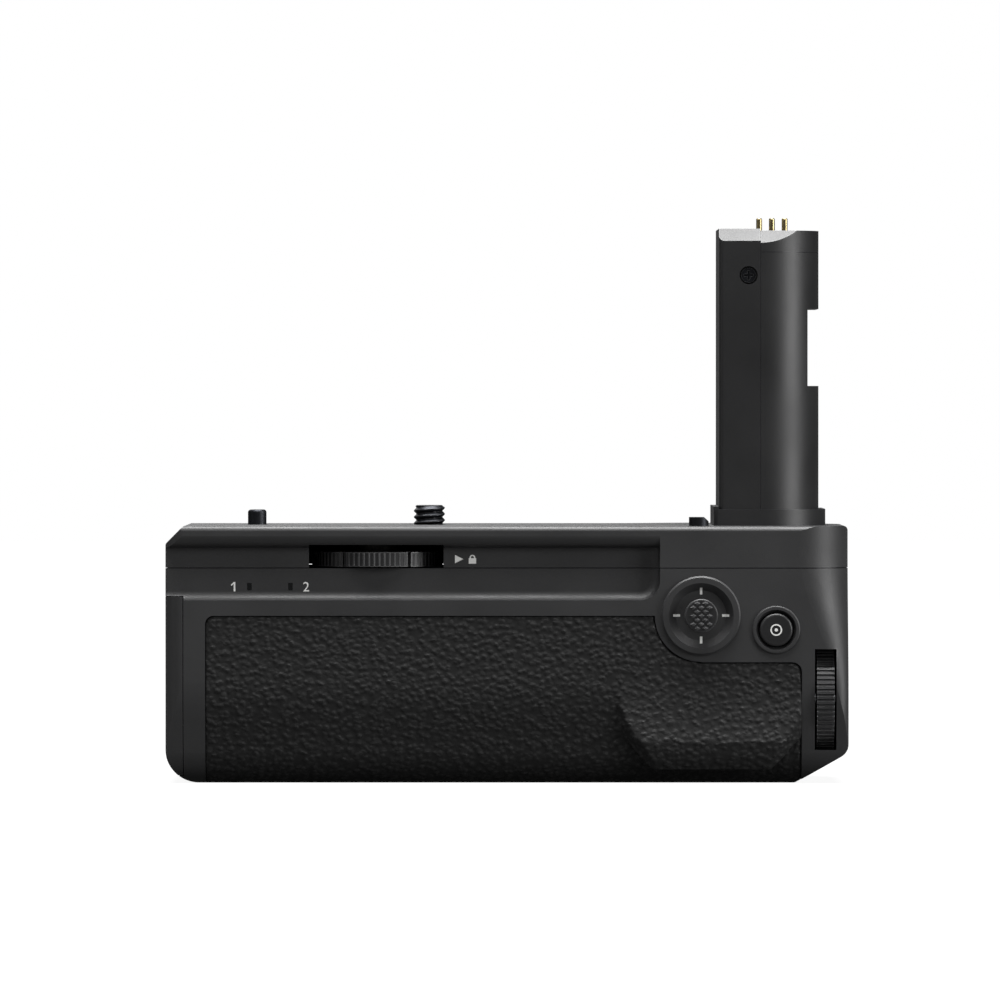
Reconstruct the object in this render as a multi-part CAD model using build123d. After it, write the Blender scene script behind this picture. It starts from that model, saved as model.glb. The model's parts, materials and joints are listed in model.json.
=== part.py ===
from build123d import *
import math
import os

os.makedirs("parts", exist_ok=True)

# All lengths are in millimetres and all angles in degrees.
# The origin is the mouth of the tripod socket, on the middle of the bottom face.
# +X runs to the hand-grip end, -Y is the face with the joystick, +Z is the face that meets the camera.

# Walls, gaps and cuts that the whole grip shares
wall = 2.0
skin_t = 0.9
seam_gap = 0.16
fit_gap = 0.1
run_gap = 0.05
slide_gap = 0.15
move_gap = 0.3
overrun = 8.0
deck_overrun = 4.0
hole_overrun = 2.0
near = 0.001

# Camera thread, the same at the socket and on the attachment screw
camera_thread_r = 3.175
camera_thread_pitch = 1.27

# Tripod socket, in the middle between the two ends
socket_r = 5.2
socket_flange_r = 6.2
socket_flange_t = 1.2
socket_h = 9.0
socket_thread_r = camera_thread_r
socket_thread_l = 7.5
socket_room = 0.6

# Battery chamber with two bays side by side, which the body is drawn round
battery_l = 56.8
battery_t = 21.0
battery_w = 38.4
battery_gap = 0.2
chamber_wall = 1.2
chamber_mid_wall = 2.4
chamber_rear_in = 7.6
chamber_front_in = 3.8
chamber_left_in = 4.05
plate_t = 1.6
rear_depth = 31.0
rear_y = -rear_depth
bay_l = battery_l + 2 * battery_gap
bay_t = battery_t + 2 * battery_gap
bay_w = battery_w + 2 * battery_gap
chamber_end_x = -socket_flange_r - socket_room
bay_end_x = chamber_end_x - chamber_wall
chamber_x = bay_end_x - bay_l
chamber_y = rear_y + chamber_rear_in
rear_bay_y = chamber_y + chamber_wall
front_bay_y = rear_bay_y + bay_t + chamber_mid_wall
chamber_front_y = front_bay_y + bay_t + chamber_wall
mid_wall_y = front_bay_y - chamber_mid_wall / 2
chamber_z = plate_t
bay_z = chamber_z + chamber_wall
bay_top_z = bay_z + bay_w
chamber_top_z = bay_top_z + chamber_wall

# Outline of the body
seam_over_chamber = 0.9
deck_over_seam = 8.5
grip_proud = 10.0
facet_run = 24.0
facet_turn = 40.0
grip_rise_in = 33.25
grip_flank_w = 12.0
split_y = 10.0
left_x = chamber_x - chamber_left_in
right_x = -left_x
front_y = chamber_front_y + chamber_front_in
grip_y = front_y + grip_proud
cover_seam_z = chamber_top_z + seam_over_chamber
deck_z = cover_seam_z + deck_over_seam
facet_y = grip_y - facet_run
facet_x = right_x - facet_run * math.tan(math.radians(facet_turn))
grip_rise_x = right_x - grip_rise_in
grip_root_x = grip_rise_x - grip_flank_w
facet_end_r = 8.0
facet_front_r = 9.0
grip_rise_r = 10.0
grip_root_r = 14.0
low_edge_r = 6.0
top_edge_r = 1.0
rear_slope_z = 17.0
rear_slope_in = 3.0
rear_slope_r = 40.0
rear_foot_r = 7.5
left_rear_r = 3.5
left_front_r = 3.0
left_foot_r = 7.0
left_slant = 3.65
left_slant_r = 0.8
right_bevel_in = 10.85
right_bevel_x = right_x - right_bevel_in
right_bevel_z = 6.3
right_bevel_foot_r = 1.5
right_bevel_top_r = 3.0
corner_low_r = 2.6
corner_high_r = 10.0
corner_low_z = 17.0
corner_high_in = 5.2
corner_high_z = deck_z - corner_high_in
corner_steps = 4

# Attachment wheel, its gear pair and the camera screw
screw_in = 9.1
wheel_in = 10.5
screw_x = chamber_end_x - screw_in
wheel_x = screw_x - wheel_in
gear_module = 0.8
wheel_teeth = 27
screw_teeth = 23
tooth_tip_share = 0.45
tooth_root_share = 1.55
tooth_clearance_share = 0.25
gear_backlash = 0.09
gear_t = 1.3
gear_gap = 0.3
wheel_r = 13.2
wheel_t = 2.95
wheel_groove_w = 0.8
wheel_groove_d = 0.7
wheel_segments = 6
wheel_floor_gap = 0.15
wheel_hub_r = 5.0
axle_r = 2.0
gear_spacing = gear_module * (wheel_teeth + screw_teeth) / 2
wheel_y = -math.sqrt(gear_spacing ** 2 - wheel_in ** 2)
line_turn = math.degrees(math.atan2(-wheel_y, wheel_in))
wheel_mesh_turn = line_turn
screw_mesh_turn = line_turn + 180 + 180 / screw_teeth
gear_top_z = deck_z - wall - gear_gap
gear_low_z = gear_top_z - gear_t
wheel_low_z = cover_seam_z + wheel_floor_gap + fit_gap
wheel_high_z = wheel_low_z + wheel_t
slot_side_gap = 0.35
screw_r = camera_thread_r
screw_pitch = camera_thread_pitch
screw_thread_depth = 0.65
screw_thread_in = 1.0
thread_root_share = 0.06
thread_crest_share = 0.06
screw_proud = 4.0
screw_shank_r = 2.9
screw_pivot_r = 2.0
bush_r = 4.9
gear_plate_t = 1.0
gear_plate_rim = 3.0
gear_plate_r = 5.0

# Finger recess along the top of the rear face, with its lip brought down over the wheel
recess_depth = 2.5
recess_under_seam = 6.5
recess_lip = 2.0
recess_right_in = 38.25
recess_right_r = 4.0
recess_lip_r = 2.4
recess_foot_r = 1.8
boss_left_w = 14.1
boss_right_w = 13.9
boss_run = 7.5
boss_lip = 3.8
boss_r = 2.5
recess_low_z = cover_seam_z - recess_under_seam
recess_lip_z = deck_z - recess_lip
recess_right_x = right_x - recess_right_in
boss_left_x = wheel_x - boss_left_w
boss_right_x = wheel_x + boss_right_w
boss_low_z = deck_z - boss_lip

# Battery contacts and the board that carries them
blade_count = 4
blade_pitch = 5.0
blade_w = 1.0
blade_h = 3.2
blade_reach = 1.4
blade_over_floor = 9.2
blade_z = bay_z + blade_over_floor
contact_board_t = 1.0
contact_board_rim = 4.0

# Battery latches, one lever beside each bay
latch_pin_r = 0.6
latch_pin_l = 4.0
latch_head_r = 1.1
latch_head_t = 0.35
latch_lever_t = 0.9
latch_hub_r = 1.2
latch_arm_l = 4.2
latch_low_in = 8.2
latch_high_in = 8.6
latch_low_z = bay_z + latch_low_in
latch_high_z = bay_top_z - latch_high_in

# Battery door, its hinge, seal and sliding latch
door_t = 3.55
door_step_up = 0.7
door_step_in = 6.4
door_edge_in = 4.8
door_x = left_x + door_t
door_low_z = plate_t
door_step_z = recess_low_z + door_step_up
door_step_y = rear_y + door_step_in
door_edge_y = front_y - door_edge_in
door_gap = 0.15
door_corner_r = 1.0
hinge_in = 1.35
hinge_front_in = 3.1
hinge_r = 1.25
hinge_pin_r = 0.6
hinge_low_z = 5.0
hinge_under_seam = 6.7
hinge_x = left_x + hinge_in
hinge_y = front_y - hinge_front_in
hinge_high_z = cover_seam_z - hinge_under_seam
knuckle_l = 6.0
knuckle_gap = 0.15
lug_l = 3.0
hinge_room = 1.6
seal_w = 1.5
seal_t = 1.0
door_latch_travel = 1.5
door_latch_z = 20.0
door_latch_h = 4.0
door_latch_plate_t = 0.9
door_latch_plate_h = 8.0
door_latch_in = 5.0
door_latch_l = 15.0
door_latch_y = rear_y + door_latch_in
knob_in = 11.0
knob_y = rear_y + knob_in
knob_l = 5.0
knob_sunk = 0.3
knob_rib_w = 0.5
knob_ribs = 3
hook_t = 1.5
hook_reach = 1.4
hook_in = 6.05
hook_x = left_x + hook_in
hook_y = door_latch_y - door_latch_travel + fit_gap
hook_nose_t = 1.2
keeper_t = 1.0
keeper_h = 3.2
door_inner_x = left_x + wall
latch_plate_x = door_inner_x + fit_gap
latch_plate_end_x = latch_plate_x + door_latch_plate_t
knob_top_x = left_x + knob_sunk
lever_out_x = chamber_x - fit_gap - latch_lever_t

# Joystick, with a gimbal of yoke and shaft
stick_in = 29.95
stick_under_seam = 9.6
stick_x = right_x - stick_in
stick_z = cover_seam_z - stick_under_seam
bezel_r = 8.0
bezel_rim = 1.4
bezel_slope_w = 1.5
bezel_lap = 1.7
bezel_proud = 0.8
bezel_inner_r = bezel_r - bezel_rim
bezel_floor_r = bezel_inner_r - bezel_slope_w
bezel_spigot_r = bezel_r - bezel_lap
bezel_floor_in = 0.4
bezel_t = 1.0
bezel_edge_r = 0.3
stick_tube_r = 1.8
stick_tube_room = 1.4
bezel_hole_r = stick_tube_r + stick_tube_room
gimbal_in = 6.5
gimbal_y = rear_y + gimbal_in
yoke_w = 9.2
yoke_h = 8.4
yoke_bore = 5.6
yoke_t = 2.2
yoke_pin_r = 0.6
shaft_hub_r = 1.8
shaft_pin_r = 0.5
shaft_r = 1.1
stick_cap_r = 3.4
stick_cap_t = 1.6
stick_cap_under = 1.4
stick_cap_round = 0.3
stick_travel = 0.5
stick_bump_column = 1.65
stick_bump_row = 0.84
stick_bump_w = 1.2
stick_bump_h = 0.66
stick_bump_proud = 0.35
stick_bump_top_share = 0.55
stick_base_side = 2.1
stick_base_w = yoke_w + 2 * stick_base_side
stick_base_wall = 1.2
stick_base_floor = 1.4
stick_base_h = 6.4

# Round focus button beside the joystick
focus_in = 14.75
focus_under_stick = 2.9
focus_x = right_x - focus_in
focus_z = stick_z - focus_under_stick
focus_r = 3.35
focus_rim_w = 1.55
focus_rim_round = 0.35
focus_dish_w = 0.6
focus_dish_depth = 1.0
focus_rim_r = focus_r + focus_rim_w
focus_rim_proud = 0.45
focus_proud = 0.7
focus_round = 0.5
focus_travel = 0.6

# Push buttons: flange that keeps each one in, and the stem that works its switch
button_flange = 0.7
button_flange_t = 0.9
button_stem_r = 1.2
switch_w = 3.0
switch_t = 1.1
switch_spare = 0.1

# Rear rubber skin and its thumb rest
skin_left_in = 8.15
skin_right_in = 9.55
skin_under_recess = 3.2
skin_under_stick = 9.5
skin_under_in = 8.0
skin_stick_rim = 1.4
skin_left_x = left_x + skin_left_in
skin_right_x = right_x - skin_right_in
skin_top_z = recess_low_z - skin_under_recess
skin_low_top_z = stick_z - skin_under_stick
skin_under_y = rear_y + skin_under_in
skin_stick_r = bezel_r + skin_stick_rim
skin_corner_r = 1.7
skin_step_r = 2.0
skin_gap = 0.05
thumb_in = 27.75
thumb_x = right_x - thumb_in
thumb_z = 18.5
thumb_r = 19.0
thumb_slope_up = 3.5
thumb_top_z = thumb_z + thumb_slope_up
thumb_proud = 2.9
thumb_crest_z = 2.4

# Front rubber skin
front_skin_left_in = 11.25
front_skin_past_rise = 2.5
front_skin_under_seam = 4.7
front_skin_left_x = left_x + front_skin_left_in
front_skin_right_x = grip_rise_x + front_skin_past_rise
front_skin_low_z = 6.5
front_skin_top_z = cover_seam_z - front_skin_under_seam
front_skin_r = 4.0

# Circuit boards inside
board_t = 1.2
control_in = 11.8
control_left_w = 11.8
control_right_in = 9.65
control_under_stick = 12.1
control_under_seam = 1.7
control_y = rear_y + control_in
control_front_y = control_y + board_t
control_left_x = stick_x - control_left_w
control_right_x = right_x - control_right_in
control_low_z = stick_z - control_under_stick
control_high_z = cover_seam_z - control_under_seam
switch_y = control_y - switch_t
board_post_r = 1.8
board_post_in = 2.2
main_board_in = 6.5
main_board_past_chamber = 7.3
main_board_w = 21.5
main_board_low_z = 8.0
main_board_under_seam = 3.7
main_board_y = front_y - main_board_in
main_board_left_x = chamber_end_x + main_board_past_chamber
main_board_right_x = main_board_left_x + main_board_w
main_board_high_z = cover_seam_z - main_board_under_seam
chip_t = 1.4
chip_w = 9.0

# Rear control dial
rear_dial_in = 6.45
rear_dial_x = right_x - rear_dial_in
rear_dial_w = 3.5
rear_dial_r = 11.2
rear_dial_z = 17.05
rear_dial_proud = 0.8
dial_slot_side = 0.45
rear_slot_half_h = 10.25
rear_slot_low_z = rear_dial_z - rear_slot_half_h
rear_slot_high_z = rear_dial_z + rear_slot_half_h
rear_dial_y = rear_y - rear_dial_proud + rear_dial_r
rear_dial_end_x = rear_dial_x + rear_dial_w
dial_ridge_pitch = 1.03
dial_ridge_d = 0.35
ridge_root_share = 0.2
ridge_rise_share = 0.4
ridge_top_share = 0.8
dial_axle_r = 1.5
dial_rib_t = 1.6
dial_rib_h = 9.0
dial_rib_in = 12.5
dial_hub_r = 4.0
dial_web_t = 1.6
dial_rim_t = 2.2

# Front control dial
front_dial_past_rise = 5.6
front_dial_x = grip_rise_x + front_dial_past_rise
front_dial_w = 4.5
front_dial_r = 9.0
front_dial_z = 27.0
front_dial_proud = 0.9
front_slot_h = 13.0
front_rib_in = 9.5
front_dial_y = grip_y + front_dial_proud - front_dial_r
front_dial_end_x = front_dial_x + front_dial_w

# Shutter button with its bezel, lock ring and switch, on the slanted facet
shutter_z = 27.0
shutter_along_share = 0.48
shutter_x = right_x - shutter_along_share * (right_x - facet_x)
shutter_y = facet_y + shutter_along_share * (grip_y - facet_y)
shutter_bezel_r = 9.4
shutter_rim_t = 0.6
shutter_rim_proud = 0.3
shutter_base_in = 4.5
shutter_base_t = 1.2
shutter_collar_r = 6.2
shutter_collar_t = 0.7
shutter_collar_proud = 1.3
lock_ring_proud = 1.1
lock_tab_l = 2.2
lock_tab_w = 4.0
lock_tab_up = 0.5
shutter_proud = 2.0
shutter_dish = 0.5
shutter_flange_in = 2.2
shutter_travel = 1.5
shutter_stem_r = 1.4
shutter_stem_in = 0.5
shutter_switch_r = 4.0
shutter_switch_wall = 1.0

# Two buttons on the end face
end_button_y = 3.0
end_button_low_z = 20.0
end_button_high_z = 33.0
end_button_r = 2.6
end_button_sunk = 0.1
end_button_dish = 0.4
end_button_travel = 0.5
end_board_l = 12.0
end_board_rim = 6.0
end_board_low_z = end_button_low_z - end_board_rim
end_board_high_z = end_button_high_z + end_board_rim
end_switch_x = right_x - wall - fit_gap - button_flange_t - end_button_travel - switch_spare
end_board_x = end_switch_x - switch_t - board_t
end_post_r = 1.5

# Stem that goes into the battery well of the camera, as deep and as high as a battery is
stem_in = 26.15
stem_w = 20.5
stem_rear_in = 9.0
stem_h = 60.4
stem_cap_step = 0.4
stem_cap_h = 4.8
stem_seam_in = 8.45
stem_left_x = right_x - stem_in
stem_right_x = stem_left_x + stem_w
stem_depth = battery_w
stem_y = rear_y + stem_rear_in
stem_front_y = stem_y + stem_depth
stem_top_z = deck_z + stem_h
stem_cap_top_z = stem_top_z - stem_cap_step
stem_cap_z = stem_top_z - stem_cap_h
stem_seam_x = stem_left_x + stem_seam_in
stem_wall = 1.6
stem_round_r = 12.0
stem_corner_r = 1.0
stem_bevel = 2.5
stem_seam = 0.06
stem_flange = 1.4
stem_flange_t = 1.8
stem_foot_z = deck_z - wall - stem_flange_t
notch_up = 28.4
notch_h = 15.7
notch_depth = 2.4
notch_low_z = deck_z + notch_up
notch_high_z = notch_low_z + notch_h
collar_left = 1.1
collar_right = 1.4
collar_side = 1.4
collar_h = 3.3
collar_ridge_h = 0.6
collar_ridge_w = 1.1
collar_round_w = 1.3
collar_round_r = stem_round_r + collar_round_w
stem_screw_in = 6.0
stem_screw_down = 9.5
stem_screw_x = stem_left_x + stem_screw_in
stem_screw_z = stem_top_z - stem_screw_down
stem_screw_r = 1.5
stem_screw_sink_r = 1.85
stem_screw_sink = 0.6
stem_screw_head_t = 0.8
stem_screw_shank_r = 0.8
stem_screw_l = 3.8
stem_post_r = 1.9
cross_w = 0.5
cross_l = 1.9
cross_depth = 0.5
stem_board_in = 3.1
stem_board_up = 5.8
stem_board_down = 13.6
stem_board_x = stem_left_x + stem_board_in
stem_board_low_z = deck_z + stem_board_up
stem_board_high_z = stem_top_z - stem_board_down
stem_board_rim = 3.0

# Sprung contact pins on top of the stem
contact_pin_in = 8.3
contact_pin_rear_in = 8.4
contact_pin_pitch = 2.6
contact_pin_count = 3
contact_pin_x = stem_left_x + contact_pin_in
contact_pin_y = stem_y + contact_pin_rear_in
contact_pin_r = 0.6
contact_pin_proud = 2.6
contact_collar_r = 0.9
contact_collar_t = 1.2
contact_pin_travel = 1.0
contact_block_h = 6.1
contact_block_t = 5.6
contact_block_side = 1.9
contact_floor = 1.1
contact_lid = 1.5
contact_tail = 0.5
block_top_z = stem_cap_top_z - stem_wall
block_low_z = block_top_z - contact_block_h
collar_rest_z = block_top_z - contact_lid - contact_collar_t

# Locating pin and guide stud on the deck
pin_in = 18.05
pin_x = left_x + pin_in
pin_r = 1.9
pin_proud = 3.1
pin_round_r = 0.6
pin_shank_r = 2.5
pin_flange_r = 3.2
pin_flange_t = 1.2
stud_before_stem = 4.2
stud_in = 4.8
stud_x = stem_left_x - stud_before_stem
stud_y = rear_y + stud_in
stud_r = 2.0
stud_proud = 1.8
stud_slant = 0.9
stud_flange_r = 2.6

# Bottom plate and its screws
plate_end_in = 13.25
plate_left_x = left_x + plate_end_in
plate_right_x = right_x - plate_end_in
plate_half_y = 18.0
plate_corner_r = 3.0
plate_screw_r = 1.0
plate_head_r = 1.9
plate_head_t = 1.0
plate_screw_l = 7.0
plate_screw_near_x = 12.0
plate_screw_end = 4.0
plate_screw_far_x = plate_right_x - plate_screw_end
plate_screw_side = 2.6
plate_lug_r = 4.4
plate_lug_h = 8.0

# Lamps in the recess floor
lamp_in = 17.05
lamp_pitch = 8.3
lamp_up = 2.7
lamp_first_x = left_x + lamp_in
lamp_second_x = lamp_first_x + lamp_pitch
lamp_z = recess_low_z + lamp_up
lamp_w = 0.8
lamp_h = 1.4
lamp_flange = 0.5
lamp_flange_t = 0.6
lamp_places = [(lamp_first_x, lamp_z), (lamp_second_x, lamp_z)]


def rounded(points, radii):
    return make_face(FilletPolyline(*points, radius=radii, close=True))


def shrunk(face, inset):
    if inset == 0:
        return face
    return offset(face, amount=-inset)


def prism_x(face, x0, x1):
    """Outline drawn in (y, z), run from x0 to x1."""
    return Pos(x0, 0, 0) * extrude(Plane.YZ * face, amount=x1 - x0, dir=(1, 0, 0))


def prism_y(face, y0, y1):
    """Outline drawn in (x, z), run from y0 to y1."""
    return Pos(0, y0, 0) * extrude(Plane.XZ * face, amount=y1 - y0, dir=(0, 1, 0))


def prism_z(face, z0, z1):
    """Outline drawn in (x, y), run from z0 to z1."""
    return Pos(0, 0, z0) * extrude(face, amount=z1 - z0, dir=(0, 0, 1))


def level_edges(solid, z):
    """Edges that lie flat at height z."""
    return [e for e in solid.edges() if abs((e @ 0).Z - z) < near and abs((e @ 0.5).Z - z) < near]


def box(x0, x1, y0, y1, z0, z1):
    corner = (Align.MIN, Align.MIN, Align.MIN)
    return Pos(x0, y0, z0) * Box(x1 - x0, y1 - y0, z1 - z0, align=corner)


def rod_x(y, z, x0, x1, r):
    return prism_x(Pos(y, z) * Circle(r), x0, x1)


def rod_y(x, z, y0, y1, r):
    return prism_y(Pos(x, z) * Circle(r), y0, y1)


def rod_z(x, y, z0, z1, r):
    return prism_z(Pos(x, y) * Circle(r), z0, z1)


def turned(points):
    """Profile of (radius, height) points turned about the Z axis."""
    outline = Plane.XZ * make_face(Polyline(*points, close=True))
    return revolve(outline, axis=Axis.Z)


# Whole body outline, drawn inwards by an inset so that walls and skins follow it

def front_prism(inset):
    far_x = left_x - overrun - left_foot_r
    far_y = rear_y - overrun
    points = [
        (far_x, far_y),
        (right_x, far_y),
        (right_x, facet_y),
        (facet_x, grip_y),
        (grip_rise_x, grip_y),
        (grip_root_x, front_y),
        (far_x, front_y),
    ]
    radii = [0, 0, facet_end_r, facet_front_r, grip_rise_r, grip_root_r, 0]
    plan = shrunk(rounded(points, radii), inset)
    block = prism_z(plan, inset, deck_z - inset)
    side_x = right_x - inset
    low = [
        e for e in level_edges(block, inset)
        if e.center().Y > split_y or abs(e.center().X - side_x) < fit_gap
    ]
    low = [e for e in low if e.center().X > far_x + overrun]
    block = fillet(low, low_edge_r - inset)
    if inset > 0:
        return block
    high = [
        e for e in level_edges(block, deck_z)
        if e.center().Y > split_y and e.center().X > far_x + overrun
    ]
    return fillet(high, top_edge_r)


def rear_profile():
    far_y = grip_y + overrun
    points = [
        (rear_y, deck_z),
        (rear_y, rear_slope_z),
        (rear_y + rear_slope_in, 0),
        (far_y, 0),
        (far_y, deck_z),
    ]
    return rounded(points, [top_edge_r, rear_slope_r, rear_foot_r, 0, 0])


def silhouette():
    points = [
        (left_x, 0),
        (right_bevel_x, 0),
        (right_x, right_bevel_z),
        (right_x, deck_z),
        (left_x + left_slant, deck_z),
        (left_x, deck_z - left_slant),
    ]
    radii = [left_foot_r, right_bevel_foot_r, right_bevel_top_r, top_edge_r, left_slant_r, left_slant_r]
    return rounded(points, radii)


def end_corners(rear_right_r):
    far_y = grip_y + overrun
    points = [
        (left_x, rear_y),
        (right_x, rear_y),
        (right_x, far_y),
        (0, far_y),
        (0, front_y),
        (left_x, front_y),
    ]
    return rounded(points, [left_rear_r, rear_right_r, 0, 0, 0, left_front_r])


def block(inset, rear_right_r):
    profile = prism_x(shrunk(rear_profile(), inset), left_x - overrun, right_x + overrun)
    face = prism_y(shrunk(silhouette(), inset), rear_y - overrun, grip_y + overrun)
    corners = prism_z(shrunk(end_corners(rear_right_r), inset), -overrun, deck_z + overrun)
    return corners & front_prism(inset) & profile & face


def corner_section(z, r):
    """What a rounding of radius r takes off the rear right corner at height z."""
    out_x = right_x + overrun
    out_y = rear_y - overrun
    centre = (right_x - r, rear_y + r)
    arc = CenterArc(centre, r, 270, 90)
    lines = Polyline(arc @ 1, (out_x, rear_y + r), (out_x, out_y), (right_x - r, out_y), arc @ 0)
    return Pos(0, 0, z) * make_face([arc, lines])


def corner_cut():
    """The corner is tight beside the dial and opens to a wide rounding towards the deck."""
    sections = []
    for i in range(corner_steps + 1):
        share = i / corner_steps
        ease_share = share * share * (3 - 2 * share)
        z = corner_low_z + share * (corner_high_z - corner_low_z)
        sections.append(corner_section(z, corner_low_r + ease_share * (corner_high_r - corner_low_r)))
    above = deck_z - corner_high_z + overrun
    high = extrude(corner_section(corner_high_z, corner_high_r), amount=above, dir=(0, 0, 1))
    return loft(sections) + high


def boss_outline(low_z, drop):
    """Finger recess outline in (x, z), with the lip brought down over the wheel."""
    out_x = left_x - overrun
    points = [
        (out_x, low_z),
        (recess_right_x + drop, low_z),
        (recess_right_x + drop, recess_lip_z + drop),
        (boss_right_x + boss_run, recess_lip_z + drop),
        (boss_right_x, boss_low_z),
        (boss_left_x, boss_low_z),
        (boss_left_x - boss_run, recess_lip_z + drop),
        (out_x, recess_lip_z + drop),
    ]
    return rounded(points, [0, recess_right_r, 0, boss_r, boss_r, boss_r, boss_r, 0])


def lip_section():
    """Room of the recess in (y, z), under a lip that rolls inwards to the recess floor."""
    roll = CenterArc((rear_y + recess_lip_r, recess_lip_z), recess_lip_r, 180, 90)
    far_y = rear_y + recess_depth + recess_lip_r
    low_z = recess_low_z - overrun
    lines = Polyline(
        roll @ 1, (far_y, recess_lip_z - recess_lip_r), (far_y, low_z), (rear_y - overrun, low_z),
        (rear_y - overrun, recess_lip_z), roll @ 0,
    )
    return make_face([roll, lines])


def recess_cut():
    """Finger recess, with a hollow rounding along its foot and its right end."""
    floor_y = rear_y + recess_depth
    space = prism_y(boss_outline(recess_low_z, 0), rear_y - overrun, floor_y)
    foot = [e for e in space.edges() if abs(e.center().Y - floor_y) < near and e.center().X > left_x]
    foot = [e for e in foot if e.center().Z < cover_seam_z or e.center().X > recess_right_x - near]
    space = fillet(foot, recess_foot_r)
    return space & prism_x(lip_section(), left_x - 2 * overrun, recess_right_x + overrun)


def recess_back():
    """Wall that stands behind the recess floor, inside the body."""
    outline = boss_outline(recess_low_z - wall, wall)
    return prism_y(outline, rear_y - overrun, rear_y + recess_depth + wall)


def body_room():
    return block(wall, corner_high_r) - recess_back()


def chamber_outside(gap):
    return box(chamber_x - gap, chamber_end_x + gap, chamber_y - gap, chamber_front_y + gap,
               chamber_z, chamber_top_z + gap)


outer = block(0, corner_low_r) - corner_cut()
under_skin = block(skin_t, corner_high_r)
room = body_room()
shell = outer - recess_cut() - room


# Battery door outline in (y, z); its rear part is lower, below the finger recess

def door_outline(grow):
    out_y = rear_y - overrun
    points = [
        (out_y, door_low_z - grow),
        (door_edge_y + grow, door_low_z - grow),
        (door_edge_y + grow, cover_seam_z - door_gap + grow),
        (door_step_y - grow, cover_seam_z - door_gap + grow),
        (door_step_y - grow, door_step_z + grow),
        (out_y, door_step_z + grow),
    ]
    return rounded(points, [0, door_corner_r, door_corner_r, door_corner_r, door_corner_r, 0])


def door_space():
    """What the door and its hinge take out of the covers."""
    out_x = left_x - overrun
    end = door_x + door_gap
    leaf = prism_x(door_outline(door_gap), out_x, end)
    hinge = box(out_x, end, door_edge_y - wall, hinge_y + hinge_room, door_low_z - door_gap,
                cover_seam_z)
    return leaf + hinge


knuckle_spans = [
    (hinge_low_z + lug_l + knuckle_gap, hinge_low_z + lug_l + knuckle_gap + knuckle_l),
    (hinge_high_z - lug_l - knuckle_gap - knuckle_l, hinge_high_z - lug_l - knuckle_gap),
]
lug_spans = [(hinge_low_z, hinge_low_z + lug_l), (hinge_high_z - lug_l, hinge_high_z)]


def hinge_lugs():
    lugs = None
    for z0, z1 in lug_spans:
        lug = rod_z(hinge_x, hinge_y, z0, z1, hinge_r)
        lug += box(hinge_x, hinge_x + hinge_r, hinge_y, front_y - wall / 2, z0, z1)
        lugs = lug if lugs is None else lugs + lug
    return lugs


def hinge_pin_holes():
    hole_r = hinge_pin_r + run_gap
    return rod_z(hinge_x, hinge_y, hinge_low_z - hole_overrun, hinge_high_z + hole_overrun, hole_r)


# Slanted facet of the hand grip, with its height running outwards

facet_plane = Plane(
    origin=(shutter_x, shutter_y, shutter_z),
    x_dir=(0, 0, 1),
    z_dir=(math.cos(math.radians(facet_turn)), math.sin(math.radians(facet_turn)), 0),
)


# Rubber skins let into the covers

def rear_skin_outline(grow):
    points = [
        (skin_left_x - grow, -overrun),
        (skin_right_x + grow, -overrun),
        (skin_right_x + grow, skin_low_top_z + grow),
        (stick_x, skin_low_top_z + grow),
        (stick_x, skin_top_z + grow),
        (skin_left_x - grow, skin_top_z + grow),
    ]
    outline = rounded(points, [0, 0, skin_step_r, 0, 0, skin_corner_r])
    return outline - Pos(stick_x, stick_z) * Circle(skin_stick_r - grow)


def front_skin_outline(grow):
    points = [
        (front_skin_left_x - grow, front_skin_low_z - grow),
        (front_skin_right_x + grow, front_skin_low_z - grow),
        (front_skin_right_x + grow, front_skin_top_z + grow),
        (front_skin_left_x - grow, front_skin_top_z + grow),
    ]
    return rounded(points, [front_skin_r] * len(points))


def rear_skin_space(grow):
    region = prism_y(rear_skin_outline(grow), rear_y - overrun, skin_under_y + grow)
    return (outer & region) - under_skin


def front_skin_space(grow):
    region = prism_y(front_skin_outline(grow), front_y - wall - grow, grip_y + overrun)
    return (outer & region) - under_skin


def thumb_rest():
    """Pad that sweeps out in a hollow curve to a crest low down, with a steep underside."""
    drop = thumb_top_z - thumb_crest_z
    sweep_r = (drop ** 2 + thumb_proud ** 2) / (2 * thumb_proud)
    low_z = thumb_z - thumb_r - overrun
    turn = math.degrees(math.asin((thumb_top_z - low_z) / sweep_r))
    sweep = CenterArc((rear_y - sweep_r, thumb_top_z), sweep_r, -turn, turn)
    lines = Polyline(
        sweep @ 1, (rear_y + skin_t, thumb_top_z), (rear_y + skin_t, low_z), sweep @ 0)
    wedge = prism_x(make_face([sweep, lines]), skin_left_x, skin_right_x)
    base = thumb_r + skin_t
    cone = Cone(base, base - thumb_r / 2, thumb_r / 2, align=(Align.CENTER, Align.CENTER, Align.MIN))
    facing = Plane(origin=(thumb_x, rear_y + skin_t, thumb_z), x_dir=(1, 0, 0), z_dir=(0, -1, 0))
    foot = prism_x(Pos(-thumb_proud, 0) * rear_profile(), skin_left_x, skin_right_x)
    return wedge & (facing * cone) & foot


def rear_skin():
    skin = rear_skin_space(0)
    pad = thumb_rest() & prism_y(rear_skin_outline(0), rear_y - overrun, rear_y + skin_t)
    return skin + (pad - under_skin)


def front_skin():
    return front_skin_space(0)


# Cutters shared by the covers

def plate_outline(grow):
    points = [
        (plate_left_x - grow, -plate_half_y - grow),
        (plate_right_x + grow, -plate_half_y - grow),
        (plate_right_x + grow, plate_half_y + grow),
        (plate_left_x - grow, plate_half_y + grow),
    ]
    return rounded(points, [plate_corner_r] * len(points))


lug_y = plate_half_y - plate_screw_side
lug_places = [(x, y) for y in (-lug_y, lug_y) for x in (plate_screw_near_x, plate_screw_far_x)]


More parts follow.
